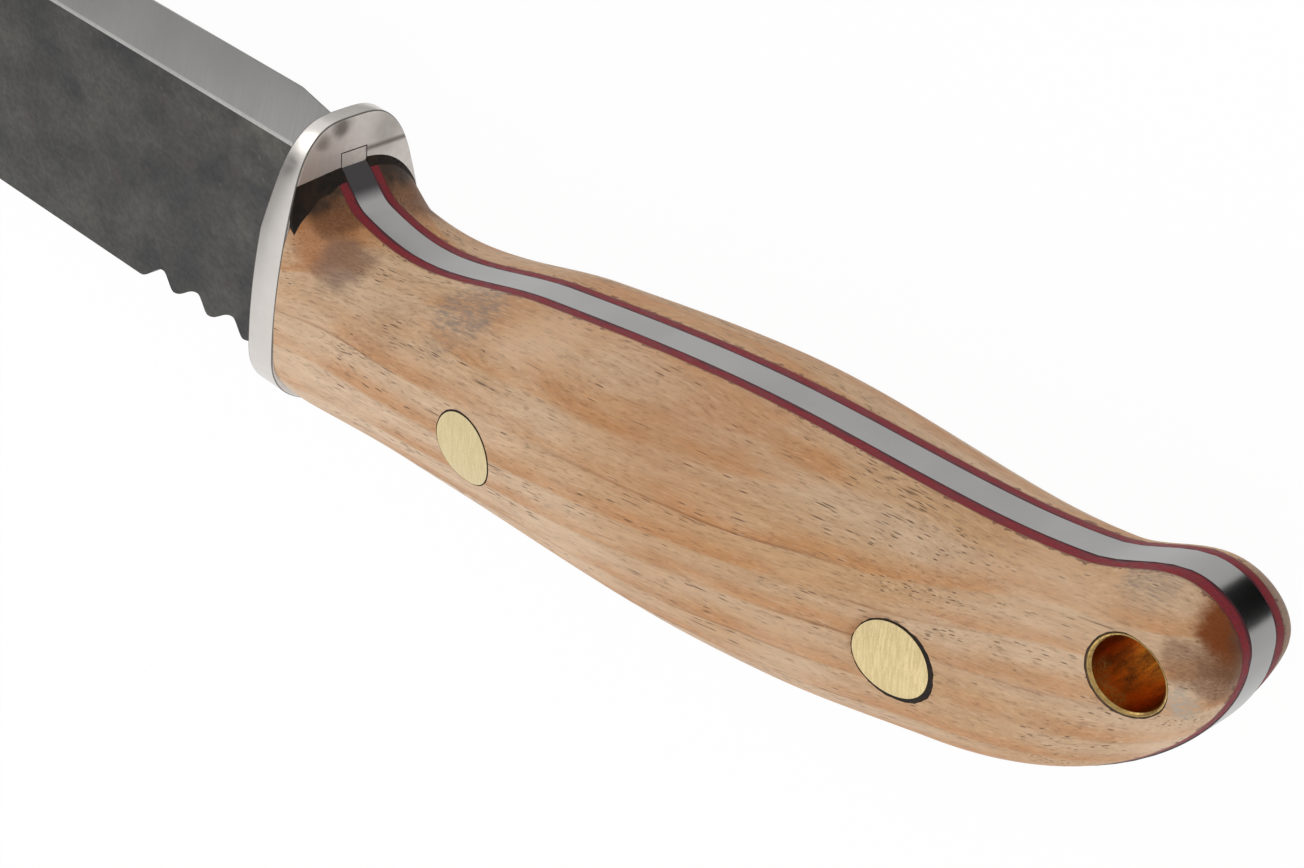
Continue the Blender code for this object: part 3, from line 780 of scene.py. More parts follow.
def liner_nicks(tree, place):
    """Ragged dark nicks where wood meets liner."""
    height = reckon(tree, "ABSOLUTE", axes_of(tree, place)[2])
    ragged = cloud(tree, stretch(tree, place, (0.9, 1.6, 1.6)), detail=3)
    deep = times(tree, fade(tree, ragged, 0.5, 0.72), NICK_DEPTH)
    edge = 1000 * LINER_OUTER
    return fade(tree, reckon(tree, "SUBTRACT", height, deep), edge + 0.22, edge + 0.02)


rear_reach, rear_depth, rear_radius = (1000 * size for size in REAR_PIN)
rear_top = 1000 * float(wood_height(*REAR_PIN[:2]))
BROAD, SOFT, FIRM = 0.85, 0.55, 0.30

# Each stain: its place, its radius, how ragged and how soft its outline is, its colour and its strength
STAINS = [
    ((-58.0, -29.0, 9.0), 17.0, 8.0, BROAD, WOOD_HONEY, 0.36),
    ((-98.0, -33.5, 6.0), 10.0, 6.0, BROAD, WOOD_CREAM, 0.26),
    ((-37.0, -28.5, 7.0), 7.0, 5.0, BROAD, WOOD_CREAM, 0.36),
    ((-4.0, -13.0, 10.5), 8.0, 4.0, BROAD, WOOD_CREAM, 0.18),
    ((-17.0, -20.6, 10.1), 6.0, 4.0, BROAD, WOOD_BROWN, 0.22),
    ((-46.0, -11.5, 11.0), 9.0, 4.0, BROAD, WOOD_CREAM, 0.30),
    ((-74.0, -13.5, 10.0), 8.0, 4.0, BROAD, WOOD_CREAM, 0.22),
    ((-111.0, -23.0, 3.6), 6.0, 3.0, BROAD, WOOD_CREAM, 0.45),
    ((-3.6, -23.8, 6.0), 5.6, 3.0, SOFT, WOOD_BURNISH, 0.76),
    # Dark brown beside the guard: a stain, with painted shade in the corner
    ((-2.8, -25.6, 4.4), 3.6, 2.0, SOFT, WOOD_UMBER, 0.95),
    ((-7.2, -22.9, 7.0), 4.4, 4.0, SOFT, WOOD_SMOKE, 0.8),
    ((-26.0, -26.0, 6.6), 6.0, 6.0, SOFT, WOOD_GREY, 0.75),
    ((-106.0, -38.0, 3.2), 4.0, 3.5, SOFT, WOOD_GREY, 0.6),
    ((-112.2, -29.2, 5.6), 2.3, 2.2, SOFT, WOOD_CHALK, 0.9),
    ((-111.6, -33.4, 5.8), 3.0, 2.5, SOFT, WOOD_UMBER, 0.65),
    ((-115.0, -32.4, 4.0), 3.4, 2.5, SOFT, WOOD_UMBER, 0.8),
    ((-115.0, -35.0, 3.6), 4.0, 2.0, SOFT, WOOD_UMBER, 0.9),
    ((-113.7, -36.9, 3.4), 3.5, 2.2, SOFT, WOOD_AMBER, 1.0),
    ((-115.6, -36.0, 2.4), 2.4, 1.6, SOFT, WOOD_TREACLE, 0.8),
    # Dark brown beside the guard on the left side: a stain, with painted shade in the corner
    ((-2.6, -25.5, -5.4), 6.0, 3.0, SOFT, WOOD_UMBER, 0.95),
    ((-115.0, -34.5, -3.8), 8.0, 3.0, SOFT, WOOD_ASH, 0.85),
    ((-rear_reach + 0.7, -rear_depth - 0.5, rear_top), rear_radius + 0.35, 0.5, FIRM, WOOD_LINE, 0.65),
]


def scorch_and_shade(tree, place):
    """Scorch and painted shade beside the glue behind the guard, fading out away from it."""
    axes = axes_of(tree, place)
    lumps = cloud(tree, stretch(tree, place, (0.8, 0.8, 0.8)), detail=3)
    wander = times(tree, reckon(tree, "SUBTRACT", lumps, 0.5), SCORCH_AND_SHADE_WANDER)
    behind = fade(tree, reckon(tree, "ADD", axes[0], wander), -SCORCH_AND_SHADE_REACH, -SCORCH_AND_SHADE_FULL)
    return times(tree, behind, fade(tree, axes[1], -SCORCH_AND_SHADE_DEPTH, -SCORCH_AND_SHADE_DEPTH - SCORCH_AND_SHADE_BLEND))


def wood_finish():
    material, tree, shader, place = new_finish("oiled_wood")
    colour, fibres, speckle, pores = wood_grain(tree, place)
    oiled = fade(tree, fibres, 0.34, 0.64, 1.0, 0.78)
    sealed = fade(tree, fibres, 0.34, 0.64, 1.0, 0.92)
    dusty = fade(tree, speckle, 0.36, 0.62, 0.20, 1.0)
    soaks = {WOOD_GREY: dusty, WOOD_CHALK: dusty, WOOD_AMBER: sealed}
    for centre, radius, ragged, soft, stain, strength in STAINS:
        spot = effect(tree, "spot", Place=place, Centre=centre, Radius=radius, Ragged=ragged, Soft=soft)
        share = times(tree, times(tree, spot["Mask"], strength), soaks.get(stain, oiled))
        colour = tint(tree, share, colour, stain)
    # Scorched wood, with painted shade in the corner behind the guard
    colour = tint(tree, times(tree, scorch_and_shade(tree, place), 0.92), colour, WOOD_SCORCH_AND_SHADE)
    colour = tint(tree, times(tree, liner_nicks(tree, place), 0.7), colour, NICK_DARK)
    height = reckon(tree, "SUBTRACT", times(tree, fibres, 0.3), pores)
    rough = reckon(tree, "ADD", fade(tree, fibres, 0.3, 0.7, 0.46, 0.58), times(tree, pores, 0.2))
    feed(tree, shader, Base_Color=colour, Roughness=rough, Normal=raised(tree, height, 0.35))
    feed(tree, shader, Specular_IOR_Level=0.2)
    return material


wood = wood_finish()
print("wood nodes:", len(wood.node_tree.nodes))

# %% [markdown]
# ## The scales and liners
#
# Each scale is what two flat cuts leave of the grip form, and each liner is the thin layer between
# scale and tang. Then the bores are drilled with Booleans, because three round holes through a curved
# face are exactly what they are good at. Both sides are cut from the same form, so left and right match
# as they would on the belt.

# %% Red fibre finish
FIBRE_RED = paint(118, 30, 38)
FIBRE_BRIGHT = paint(150, 36, 46)
FIBRE_DARK = paint(62, 26, 34)


def fibre_finish():
    material, tree, shader, place = new_finish("red_fibre")
    streak = effect(tree, "brush_marks", Place=place, Per_mm=(0.3, 3.0, 3.0))["Marks"]
    mottle = effect(tree, "mottle", Place=place, Per_mm=(0.3, 1.0, 1.0))
    height = reckon(tree, "ABSOLUTE", axes_of(tree, place)[2])
    wander = reckon(tree, "ADD", height, times(tree, mottle["Broad"], 0.25))
    steel_side = fade(tree, wander, 1000 * HALF_STEEL + 0.5, 1000 * HALF_STEEL + 0.2, 0.0, 0.85)
    colour = coats(
        tree,
        FIBRE_RED,
        (times(tree, streak, 0.6), FIBRE_BRIGHT),
        (times(tree, mottle["Fine"], 0.35), FIBRE_DARK),
        (steel_side, FIBRE_DARK),
    )
    feed(tree, shader, Base_Color=colour, Roughness=fade(tree, streak, 0, 1, 0.5, 0.65))
    feed(tree, shader, Normal=raised(tree, mottle["Fine"], 0.15), Specular_IOR_Level=0.25)
    return material


fibre = fibre_finish()


# %% Cut the layers
LAYER_GAP = 0.00002
SIDES = (("right", 1), ("left", -1))


def layer(inner, outer, side):
    """What lies between two heights on one side of the tang, with its bores."""
    solid = grip_form.copy()
    slice_off(solid, (0, 0, side * inner), (0, 0, -side))
    slice_off(solid, (0, 0, side * outer), (0, 0, side))
    bmesh.ops.recalc_face_normals(solid, faces=solid.faces)
    return carve(solid, *[("DIFFERENCE", bore) for bore in bores.values()])


for side_name, side in SIDES:
    liner = layer(HALF_STEEL + LAYER_GAP, LINER_OUTER - LAYER_GAP, side)
    finish_piece("liner_" + side_name, liner, [fibre], side_name + "_liner")
    scale = layer(LINER_OUTER, 2 * WIDEST, side)
    finish_piece("scale_" + side_name, scale, [wood], side_name + "_scale")

# %% [markdown]
# ## Brass
#
# The pins were sanded flush with the wood, so their ends carry the same fine lines and follow the curve
# of the grip. Each is a rod cut by the grip form. The tube is a loft of rings that runs up its outside,
# over its rim and back down its inside. The inner edge of the rim is broken with a file: on the far
# side of the hole that slope faces the eye, so the rim looks thick there and thin on the near side. The
# inside is painted a deep orange, a painted reflection of the wood with painted shade in its darker
# streaks, and it has two pale, flaky patches.

# %% Brass finish
BRASS = paint(224, 207, 162)
BRASS_DULL = paint(196, 176, 130)
REAR_BRASS = paint(198, 180, 138)
REAR_DULL = paint(172, 152, 108)
TUBE_BRASS = paint(178, 148, 92)
TUBE_DULL = paint(84, 62, 36)
TUBE_REFLECTION_ORANGE = paint(216, 132, 34)
TUBE_REFLECTION_DARK = paint(60, 32, 8)
PALE_FLAKE = paint(196, 172, 106)
TUBE_PALE_PATCHES = [((-104.4, -28.2, 5.7), 1.6), ((-106.0, -26.8, 5.8), 1.4)]  # places and radii


def brass_finish(name, bright, dull, per_mm, rough, depth=0.35, pale_patches=()):
    """Brushed brass. Each pale patch is a place and a radius where the colour turns paler in flakes."""
    material, tree, shader, place = new_finish(name)
    marks = effect(tree, "brush_marks", Place=place, Per_mm=per_mm)["Marks"]
    mottle = effect(tree, "mottle", Place=place, Per_mm=(0.8, 0.8, 0.8))
    shade = reckon(tree, "ADD", times(tree, marks, depth), times(tree, mottle["Fine"], 0.25))
    colour = tint(tree, shade, bright, dull)
    flakes = fade(tree, mottle["Fine"], 0.35, 0.65, 0.15, 0.9)
    for centre, radius in pale_patches:
        spot = effect(tree, "spot", Place=place, Centre=centre, Radius=radius, Ragged=2.0, Soft=0.5)
        colour = tint(tree, times(tree, spot["Mask"], flakes), colour, PALE_FLAKE)
    feed(tree, shader, Base_Color=colour, Metallic=1.0)
    feed(tree, shader, Roughness=fade(tree, marks, 0, 1, rough, rough + 0.12))
    feed(tree, shader, Normal=raised(tree, marks, 0.12, 0.00005))
    return material


pin_brass = {
    "front": brass_finish("pin_brass", BRASS, BRASS_DULL, (5, 0.5, 0.5), 0.3),
    "rear": brass_finish("rear_pin_brass", REAR_BRASS, REAR_DULL, (5, 0.5, 0.5), 0.34),
}
tube_skins = [
    brass_finish("tube_brass", TUBE_BRASS, TUBE_DULL, (2, 2, 0.6), 0.26),
    # The inside: a painted reflection of the warm wood, darker in streaks of painted shade
    brass_finish("tube_inside", TUBE_REFLECTION_ORANGE, TUBE_REFLECTION_DARK, (0.9, 0.9, 0.25), 0.3, 0.6, TUBE_PALE_PATCHES),
]

# %% Dark glue finish
GLUE_BLACK = paint(24, 20, 17)
GLUE_BROWN = paint(52, 36, 24)
TUBE_GLUE_BROWN = paint(52, 40, 32)
TUBE_GLUE_TAN = paint(104, 80, 60)


def glue_finish(name, dark, pale):
    material, tree, shader, place = new_finish(name)
    mottle = effect(tree, "mottle", Place=place, Per_mm=(0.7, 0.7, 0.7))
    feed(tree, shader, Base_Color=tint(tree, times(tree, mottle["Broad"], 0.6), dark, pale))
    feed(tree, shader, Roughness=fade(tree, mottle["Fine"], 0, 1, 0.55, 0.75), Specular_IOR_Level=0.15)
    feed(tree, shader, Normal=raised(tree, mottle["Fine"], 0.3))
    return material


glue = glue_finish("dark_glue", GLUE_BLACK, GLUE_BROWN)
tube_glue = glue_finish("tube_glue", TUBE_GLUE_BROWN, TUBE_GLUE_TAN)

# %% Pins, tube and their glue rings
GLUE_BELOW = 0.00005
glue_form = grip_form.copy()
bmesh.ops.scale(glue_form, vec=(1, 1, 1 - GLUE_BELOW / WIDEST), verts=glue_form.verts)


def glue_ring(name, place):
    """The glue between a bore and what sits in it, from one side of the grip to the other."""
    return carve(bores[name].copy(), ("INTERSECT", glue_form), ("DIFFERENCE", rod(*place)))


for name, place in (("front", FRONT_PIN), ("rear", REAR_PIN)):
    pin = carve(rod(*place), ("INTERSECT", grip_form))
    finish_piece("pin_" + name, pin, [pin_brass[name]], name + "_pin")
    finish_piece("pin_glue_" + name, glue_ring(name, place), [glue])
finish_piece("tube_glue", glue_ring("tube", TUBE), [tube_glue])

# %% The lanyard tube
TUBE_WALL = 0.00036

# Points over the rim: how far in from the outside, and how far below the surface of the grip
TUBE_RIM = [
    (0, 0.00010),
    (0.00004, 0.00002),
    (0.00010, 0),
    (0.00017, 0.00003),
    (0.00025, 0.00010),
    (TUBE_WALL, 0.00026),
]


def tube_ring(inward, below, side):
    """A ring of the tube, so far in from its outside and so far below the surface of the grip."""
    reach, depth, radius = TUBE
    turns = 2 * math.pi * np.arange(ROUND_SEGMENTS) / ROUND_SEGMENTS
    reaches = reach + (radius - inward) * np.cos(turns)
    depths = depth + (radius - inward) * np.sin(turns)
    heights = side * (wood_height(reaches, depths) - below)
    return [(-r, -d, h) for r, d, h in zip(reaches, depths, heights)]


tube_rings = [tube_ring(*point, 1) for point in TUBE_RIM]
tube_rings += [tube_ring(*point, -1) for point in TUBE_RIM[::-1]]
sleeve = loft(tube_rings + tube_rings[:1], ends=False)
tube_axis = Vector((-TUBE[0], -TUBE[1]))
for face in sleeve.faces:
    from_axis = (face.calc_center_median().xy - tube_axis).length
    face.material_index = int(from_axis < TUBE[2] - TUBE_WALL + WELD)
finish_piece("lanyard_sleeve", sleeve, tube_skins, "lanyard_tube")

# %% [markdown]
# ## The steel
#
# Blade and tang are one bar. Its outline is filled and extruded, and then a swept cutter takes the
# bevel off each side of the edge. The cutter has a small break in its slope just before the flat: on
# the real blade a narrow bright line runs there, where the grinder just cleaned the forge skin. Four
# thumb notches are one wave along the back.

# %% Outline of the steel
BACK_SWEEP = 0.060
SWEEP_STEPS = 40
TIP_DEPTH = 0.0110
BELLY_LENGTH = 0.062
BELLY_POWER = 2.3
BELLY_STEPS = 60
BLADE_HEIGHT = 0.0343
HEEL_LENGTH = 0.0057
HEEL_RELIEF = 0.0013
SHOULDER = 0.00306
NECK_DEPTH = 0.0306
NOTCH_COUNT = 4
NOTCH_PITCH = 0.0065
NOTCH_WALL = 0.0019
NOTCH_DEPTH = 0.00245
NOTCH_CREST = 0.0005
WALL_STEPS = 14
RAMP_STEPS = 18
FIRST_NOTCH = 0.0123
LAST_NOTCH = FIRST_NOTCH + (NOTCH_COUNT - 1) * NOTCH_PITCH


def back_of_blade(x):
    share = np.clip((x - TIP + BACK_SWEEP) / BACK_SWEEP, 0, 1)
    return TIP_DEPTH * share * share


def notched_back(x):
    """A wave that is steeper on the guard's side, and whose last ramp comes up to the plain back."""
    crest = NOTCH_CREST if x < LAST_NOTCH else 0
    past_crest = (x - FIRST_NOTCH + NOTCH_WALL) % NOTCH_PITCH
    if past_crest < NOTCH_WALL:
        share = past_crest / NOTCH_WALL
    else:
        share = (NOTCH_PITCH - past_crest) / (NOTCH_PITCH - NOTCH_WALL)
    return crest + (NOTCH_DEPTH - crest) * (1 - math.cos(math.pi * share)) / 2


def notch_places():
    """Places along the notches, from the crest near the guard to the plain back."""
    wall = np.linspace(0, NOTCH_WALL, WALL_STEPS)[:-1]
    ramp = np.linspace(NOTCH_WALL, NOTCH_PITCH, RAMP_STEPS)[:-1]
    crests = FIRST_NOTCH - NOTCH_WALL + NOTCH_PITCH * np.arange(NOTCH_COUNT + 1)
    return [crest + place for crest in crests[:-1] for place in (*wall, *ramp)] + [crests[-1]]


def edge_of_blade(x):
    belly = np.clip((x - TIP + BELLY_LENGTH) / BELLY_LENGTH, 0, 1) ** BELLY_POWER
    heel = np.clip((SHOULDER + HEEL_LENGTH - x) / HEEL_LENGTH, 0, 1)
    return BLADE_HEIGHT - (BLADE_HEIGHT - TIP_DEPTH) * belly - HEEL_RELIEF * heel


def belly_places():
    """Places along the edge from the tip back to the shoulder at the guard."""
    belly = np.linspace(TIP, TIP - BELLY_LENGTH, BELLY_STEPS)
    return np.concatenate([belly, [SHOULDER + HEEL_LENGTH, SHOULDER]])


def steel_outline():
    sweep = np.linspace(TIP - BACK_SWEEP, TIP, SWEEP_STEPS)[:-1]
    reaches = np.concatenate([[0], groove_run[1:], palm_run[::2], butt_run])
    outline = [(0, -NOTCH_CREST)]
    outline += [(x, -notched_back(x)) for x in notch_places()]
    outline += [(x, -back_of_blade(x)) for x in sweep]
    outline += [(x, -edge_of_blade(x)) for x in belly_places()]
    outline += [(SHOULDER, -NECK_DEPTH), (0, -NECK_DEPTH)]
    outline += [(-reach, -finger_depth(reach)) for reach in reaches]
    outline += [(-reach, -back_depth(reach)) for reach in reaches[::-1]]
    return outline


def plate(outline, thickness):
    """A flat outline, filled and extruded to a thickness about its own plane."""
    solid = bmesh.new()
    corners = [solid.verts.new((x, y, -thickness / 2)) for x, y in outline]
    face = solid.faces.new(corners)
    made = bmesh.ops.extrude_face_region(solid, geom=[face])["geom"]
    top = [part for part in made if isinstance(part, bmesh.types.BMVert)]
    bmesh.ops.translate(solid, verts=top, vec=(0, 0, thickness))
    bmesh.ops.recalc_face_normals(solid, faces=solid.faces)
    return solid


bar_outline = steel_outline()
print("outline points:", len(bar_outline))

# %% Grind the bevel
GRIND_WIDTH = 0.0060
GRIND_LINE = 0.00024
EDGE_THICKNESS = 0.0002
GRIND_FALL = (HALF_STEEL - EDGE_THICKNESS / 2) / GRIND_WIDTH
STAGGER = 0.0003
OVERRUN = 0.0001
MARGIN = 0.003


def bevel_cutter(side):
    """What the grinder takes off one side of the edge, swept along the edge."""
    line_start = GRIND_WIDTH - GRIND_LINE
    line_height = EDGE_THICKNESS / 2 + GRIND_FALL * line_start
    past_line = GRIND_WIDTH + MARGIN
    past_height = line_height + (past_line - line_start) * GRIND_FALL / 2
    profile = [
        (-MARGIN, EDGE_THICKNESS / 2 - GRIND_FALL * MARGIN),
        (line_start, line_height),
        (past_line, past_height),
        (past_line, HALF_STEEL + MARGIN),
        (-MARGIN, HALF_STEEL + MARGIN),
    ]
    places = np.append(belly_places()[:-1] - STAGGER, SHOULDER - OVERRUN)
    along = [Vector((x, -edge_of_blade(x), 0)) for x in places]
    along.insert(0, along[0] + (along[0] - along[1]).normalized() * MARGIN)
    rings = []
    for i, point in enumerate(along):
        ahead = along[max(i - 1, 0)] - along[min(i + 1, len(along) - 1)]
        inward = Vector((-ahead.y, ahead.x, 0)).normalized()
        if i == len(along) - 1:
            inward = Vector((0, 1, 0))
        rings.append([point + inward * n + Vector((0, 0, side * z)) for n, z in profile])
    return loft(rings)


steel = plate(bar_outline, 2 * HALF_STEEL)
grinds = [("DIFFERENCE", bevel_cutter(side)) for side in (1, -1)]
steel = carve(steel, *grinds, *[("DIFFERENCE", bore) for bore in bores.values()])
print("steel:", len(steel.faces), "faces")

# %% [markdown]
# ## Finishes of the steel
#
# One bar has five skins. The flats keep the dark, mottled skin of the forge. The bevel was ground on a
# belt, with marks square to the edge. The thin line above it is brighter. The rim of the tang was
# sanded with the grip, and close to the guard it is painted dark, as a painted reflection. The end of
# the neck was polished flush with the guard, so it shares the guard's finish and its painted
# reflections. Each face gets its skin by where it is and which way it looks.

# %% Steel finishes
FORGE_GREEN = paint(96, 95, 87)
FORGE_VIOLET = paint(43, 41, 44)
FORGE_DARK = paint(38, 37, 37)
FORGE_PALE = paint(98, 97, 93)
FORGE_RUST = paint(84, 68, 60)
FORGE_NEAR = 4.0
FORGE_FAR = 36.0
GROUND_GREY = paint(168, 167, 165)
GROUND_DARK = paint(146, 145, 143)
LINE_GREY = paint(197, 196, 193)
RIM_GREY = paint(156, 155, 154)
RIM_DARK = paint(132, 131, 130)
# Painted dark reflection on the tang rim next to the guard
TANG_DARK_REFLECTION = paint(66, 64, 65)
DARK_REFLECTION_END = -3.2
DARK_REFLECTION_FULL = -1.8
BAND_GREY = paint(219, 214, 209)
BAND_DARK = paint(200, 194, 188)
FACE_GREY = paint(209, 203, 198)
FACE_DARK = paint(185, 178, 172)
FACE_DARK_REFLECTION = paint(96, 88, 82)
# Painted dark reflection along the broken edge of the guard
EDGE_REFLECTION_GREY = paint(110, 105, 100)
EDGE_REFLECTION_DARK = paint(84, 80, 76)

# Painted dark reflections on the guard's rear face: place, radius and strength of each spot, and a
# streak beside the neck
FACE_REFLECTION_SPOTS = [((0, -33.7, 1.6), 1.8, 0.8), ((0, -32.5, 3.9), 1.3, 0.55), ((0, -31.8, -4.4), 3.4, 0.35)]
STREAK_DEPTH = 30.25
STREAK_HALF = 0.5
STREAK_FROM = 1.2
STREAK_BLEND = 0.8


def forge_finish():
    material, tree, shader, place = new_finish("forge_skin")
    broad = effect(tree, "mottle", Place=place, Per_mm=(0.10, 0.13, 0.13))
    small = effect(tree, "mottle", Place=place, Per_mm=(0.22, 0.28, 0.28))
    rust = cloud(tree, stretch(tree, place, (0.3, 0.4, 0.4)), detail=4)
    specks = put(tree, "ShaderNodeTexVoronoi", {"Vector": place, "Scale": 0.4}).outputs["Distance"]
    along = axes_of(tree, place)[0]
    colour = coats(
        tree,
        FORGE_GREEN,
        (broad["Broad"], FORGE_VIOLET),
        (times(tree, broad["Fine"], 0.40), FORGE_DARK),
        (times(tree, small["Broad"], 0.30), FORGE_PALE),
        (times(tree, small["Fine"], 0.18), FORGE_DARK),
        (fade(tree, rust, 0.58, 0.74, 0.0, 0.45), FORGE_RUST),
        (fade(tree, specks, 0.14, 0.04, 0.0, 0.6), FORGE_PALE),
        (fade(tree, along, FORGE_NEAR, FORGE_FAR, 0.0, 0.44), FORGE_DARK),
    )
    feed(tree, shader, Base_Color=colour, Metallic=0.35)
    feed(tree, shader, Roughness=fade(tree, small["Fine"], 0, 1, 0.46, 0.56))
    feed(tree, shader, Normal=raised(tree, small["Fine"], 0.12))
    return material


def satin_finish(name, bright, dark, per_mm, rough, depth):
    """Steel rubbed along one direction, with marks as deep as the last value says."""
    material, tree, shader, place = new_finish(name)
    marks = effect(tree, "brush_marks", Place=place, Per_mm=per_mm)["Marks"]
    broad = effect(tree, "mottle", Place=place, Per_mm=(0.12, 0.12, 0.12))["Broad"]
    shade = reckon(tree, "ADD", times(tree, marks, depth), times(tree, broad, 0.3))
    feed(tree, shader, Base_Color=tint(tree, shade, bright, dark), Metallic=1.0)
    feed(tree, shader, Roughness=fade(tree, marks, 0, 1, rough, rough + 0.3 * depth))
    feed(tree, shader, Normal=raised(tree, marks, 0.2 * depth, 0.00002))
    return material


def painted(material):
    """What a further coat needs: the tree, its shader, the colour so far and the place."""
    tree = material.node_tree
    shader = tree.nodes["Principled BSDF"]
    return tree, shader, shader.inputs["Base Color"].links[0].from_socket, knife_place(tree)


def rim_finish():
    """The sanded rim of the tang, with a painted dark reflection close to the guard."""
    material = satin_finish("tang_rim", RIM_GREY, RIM_DARK, (3, 3, 0.3), 0.24, 0.03)
    tree, shader, clean, place = painted(material)
    dark_reflection = fade(tree, axes_of(tree, place)[0], DARK_REFLECTION_END, DARK_REFLECTION_FULL)
    feed(tree, shader, Base_Color=tint(tree, dark_reflection, clean, TANG_DARK_REFLECTION))
    return material


def face_finish():
    """The faces of the guard, with painted dark reflections at the finger end of the rear one and beside
    the neck.
    """
    material = satin_finish("guard_face", FACE_GREY, FACE_DARK, (1.2, 1.2, 1.2), 0.44, 0.2)
    tree, shader, colour, place = painted(material)
    for centre, radius, strength in FACE_REFLECTION_SPOTS:
        spot = effect(tree, "spot", Place=place, Centre=centre, Radius=radius, Ragged=1.5, Soft=0.8)
        colour = tint(tree, times(tree, spot["Mask"], strength), colour, FACE_DARK_REFLECTION)
    axes = axes_of(tree, place)
    apart = reckon(tree, "ABSOLUTE", reckon(tree, "ADD", axes[1], STREAK_DEPTH))
    rear_only = fade(tree, axes[0], 2.0, 1.0)
    left_of_neck = fade(tree, axes[2], -STREAK_FROM, -STREAK_FROM - STREAK_BLEND, 0.0, 0.8)
    streak = times(tree, fade(tree, apart, STREAK_HALF, 0.0), times(tree, rear_only, left_of_neck))
    feed(tree, shader, Base_Color=tint(tree, streak, colour, FACE_DARK_REFLECTION))
    return material


guard_skins = [
    satin_finish("guard_band", BAND_GREY, BAND_DARK, (0.5, 0.5, 4), 0.28, 0.15),
    face_finish(),
    # The broken edge, painted dark as a painted reflection
    satin_finish("guard_edge", EDGE_REFLECTION_GREY, EDGE_REFLECTION_DARK, (1.2, 1.2, 1.2), 0.35, 0.2),
]
BAND, FACE, EDGE = range(len(guard_skins))
steel_skins = [
    forge_finish(),
    satin_finish("ground_bevel", GROUND_GREY, GROUND_DARK, (3.5, 0.16, 0.16), 0.34, 0.25),
    satin_finish("grind_line", LINE_GREY, GROUND_GREY, (2, 2, 2), 0.4, 0.3),
    rim_finish(),
    guard_skins[FACE],
]
FORGED, GROUND, LINE, RIM, NECK = range(len(steel_skins))

# How squarely a face has to look sideways, or backwards, to be of the flat, the line, the bevel or the neck
FLAT_FACING = 0.9985
LINE_FACING = 0.985
BEVEL_FACING = 0.9
NECK_FACING = 0.99


def skin_of(face):
    """Which finish a face of the steel has."""
    sideways = abs(face.normal.z)
    middle = face.calc_center_median()
    if sideways > FLAT_FACING:
        return FORGED
    if sideways > LINE_FACING:
        return LINE
    if sideways > BEVEL_FACING:
        return GROUND
    if -face.normal.x > NECK_FACING and abs(middle.x) < WELD:
        return NECK
    if middle.x < 0:
        return RIM
    return GROUND if middle.y < -BLADE_HEIGHT / 2 else FORGED


bmesh.ops.recalc_face_normals(steel, faces=steel.faces)
steel.normal_update()
for face in steel.faces:
    face.material_index = skin_of(face)
finish_piece("steel", steel, steel_skins, "blade")

# %% [markdown]
# ## The guard
#
# The guard is an egg-shaped plate, larger at the back and smaller at the fingers, and the front of the
# grip was shaped with it. The front face leans back so that the plate thins towards the fingers. Its
# edges are only just broken, and the broken edge between the satin rim and the rear face is painted
# dark, a painted reflection that reads as a crisp dark line.

# %% Make the guard
GUARD_TAPER_LENGTH = 0.0119
GUARD_FINGER_THICKNESS = 0.0022
GUARD_ROUND = 0.0002
GUARD_END_POINTS = 32
GUARD_FLANK_POINTS = 24
SLOT_FIT = 0.00012
RIM_ANGLE = math.radians(50)
FACE_FACING = 0.95
EDGE_FACING = 0.2


def guard_outline(x):
    """The guard's egg as a ring at one place along the knife."""
    turns = np.linspace(0, math.pi / 2, GUARD_END_POINTS)
    back_end = GUARD_WIDEST_DEPTH - GUARD_BACK_ROUND * np.cos(turns) ** (2 / GUARD_BACK_POWER)
    flank = np.linspace(GUARD_WIDEST_DEPTH, GUARD_FINGER_START, GUARD_FLANK_POINTS)
    finger_end = GUARD_FINGER_START + GUARD_FINGER_ROUND * np.sin(turns) ** (2 / GUARD_FINGER_POWER)
    depths = np.concatenate([back_end, flank[1:-1], finger_end])
    right = [(x, -depth, width) for depth, width in zip(depths, guard_half_width(depths))]
    return right + [(x, y, -z) for x, y, z in right[-2:0:-1]]


guard = loft([guard_outline(0), guard_outline(GUARD_THICKNESS)])
taper_slope = (GUARD_THICKNESS - GUARD_FINGER_THICKNESS) / GUARD_TAPER_LENGTH
taper_start = (GUARD_THICKNESS, -GUARD_DEPTH + GUARD_TAPER_LENGTH, 0)
slice_off(guard, taper_start, Vector((1, -taper_slope, 0)).normalized())
bmesh.ops.recalc_face_normals(guard, faces=guard.faces)
rims = [edge for edge in guard.edges if edge.calc_face_angle(0) > RIM_ANGLE]
bmesh.ops.bevel(
    guard,
    geom=rims,
    offset=GUARD_ROUND,
    segments=3,
    profile=0.5,
    affect="EDGES",
    material=-1,
    clamp_overlap=True,
)
slot = bmesh.new()
bmesh.ops.create_cube(slot, size=1)
slot_low = Vector((-MARGIN, -NECK_DEPTH - SLOT_FIT, -HALF_STEEL - SLOT_FIT))
slot_high = Vector((GUARD_THICKNESS + MARGIN, MARGIN, HALF_STEEL + SLOT_FIT))
bmesh.ops.scale(slot, vec=slot_high - slot_low, verts=slot.verts)
bmesh.ops.translate(slot, vec=(slot_low + slot_high) / 2, verts=slot.verts)
guard = carve(guard, ("DIFFERENCE", slot))
guard.normal_update()
for face in guard.faces:
    lengthways = abs(face.normal.x)
    face.material_index = FACE if lengthways > FACE_FACING else EDGE if lengthways > EDGE_FACING else BAND
finish_piece("guard_plate", guard, guard_skins, "finger_guard")

# %% [markdown]
# ## Glue behind the guard
#
# On the finger side the grip is rounder than the guard, and black glue fills the corner between them.
# It is a small fillet: a loft whose sections hug the wood, stand highest against the guard and run out
# on the wood along a ragged line.

